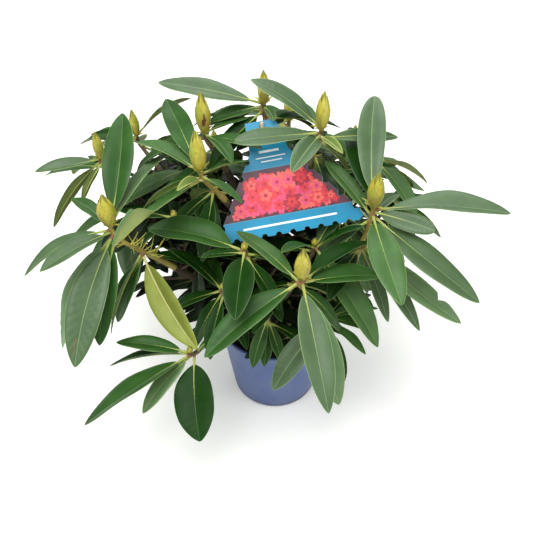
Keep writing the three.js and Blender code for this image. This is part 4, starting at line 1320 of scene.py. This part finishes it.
def makeStick():
    # a pointed foot, a straight run and a rounded head
    form, heap = stickForm, newHeap()
    x, y, z = cardForm["top"]
    low, high = plant["soilTop"] - form["buried"], z + form["above"]
    start, stop, rings = form["straight"]
    heights = [low + h for h in form["footHeights"]] + [*np.linspace(low + start, high - stop, rings)]
    heights += [high - h for h in form["headDrops"]]
    shares = [*form["footShares"], *[1] * rings, *form["headShares"]]
    centres = np.array([(x, y, h) for h in heights])
    addLimb(heap, centres, form["radius"] * np.array(shares), form, form["seed"])
    streaks = {"Streak": tone("a98256"), "Across Scale": 900, "Along Scale": 25, "Strength": 0.5}
    wood = finish("splitWood", ("dcc09a", "cfae84"), 60, 700, (0.6, 0.8), 0.3, 0.0003, streaks=streaks)
    pieceFrom(heap, "labelStick", [wood], ["label_stick"])


makeCard()
makeStick()
print("label made")

# floor, lights and camera

studio = {
    "floor": ("f4f4f2", "f0f0ee"), "floorHalf": 6, "paperGlow": 0.2, "ambient": 0.5, "backdrop": 0.96,
    "target": (0, 0, 0.25), "white": (1, 1, 1, 1),
    "lights": {  # place and size in metres, then watts
        "key": ((-0.5, -0.6, 2.0), 1.5, 48),
        "fill": ((1.3, -0.7, 1.2), 1.0, 8),
        "back": ((0.2, 1.2, 1.6), 1.2, 16),
    },
}


def addAimed(name, data, place, target):
    item = bpy.data.objects.new(name, data)
    item.location = place
    item.rotation_euler = (Vector(target) - item.location).to_track_quat("-Z", "Y").to_euler()
    scene.collection.objects.link(item)
    return item


half = studio["floorHalf"]
floorMesh = bpy.data.meshes.new("floor")
corners = [(-half, -half, 0), (half, -half, 0), (half, half, 0), (-half, half, 0)]
floorMesh.from_pydata(corners, [], [[0, 1, 2, 3]])
paper = finish("floorPaper", studio["floor"], 3, 200, (0.8, 0.95), specular=0.1)
feed(paper.node_tree, paper.node_tree.nodes["Principled BSDF"], {
    "Emission Color": studio["white"], "Emission Strength": studio["paperGlow"]})
floorMesh.materials.append(paper)
floor = bpy.data.objects.new("floor", floorMesh)
scene.collection.objects.link(floor)

# the camera sees a brighter backdrop than the one that lights the plant
world = bpy.data.worlds.new("studio")
world.use_nodes = True
sky = world.node_tree
ambient = feed(sky, sky.nodes["Background"], {"Color": studio["white"], "Strength": studio["ambient"]})
backdrop = addNode(sky, "Background", {"Strength": studio["backdrop"]})
chooser = addNode(sky, "MixShader", {
    "Fac": addNode(sky, "LightPath", {}).outputs["Is Camera Ray"],
    1: ambient.outputs["Background"], 2: backdrop.outputs["Background"]})
feed(sky, sky.nodes["World Output"], {"Surface": chooser.outputs["Shader"]})
scene.world = world
for name, (place, size, watts) in studio["lights"].items():
    light = bpy.data.lights.new(name, "AREA")
    light.size, light.energy = size, watts
    addAimed(name, light, place, studio["target"])
scene.view_settings.view_transform = "Standard"

eye = bpy.data.cameras.new("camera")
eye.lens, eye.sensor_width = viewing["lens"], viewing["sensor"]
scene.camera = addAimed("camera", eye, Vector(viewing["eye"]) * mm, Vector(viewing["aim"]) * mm)
print("studio set")
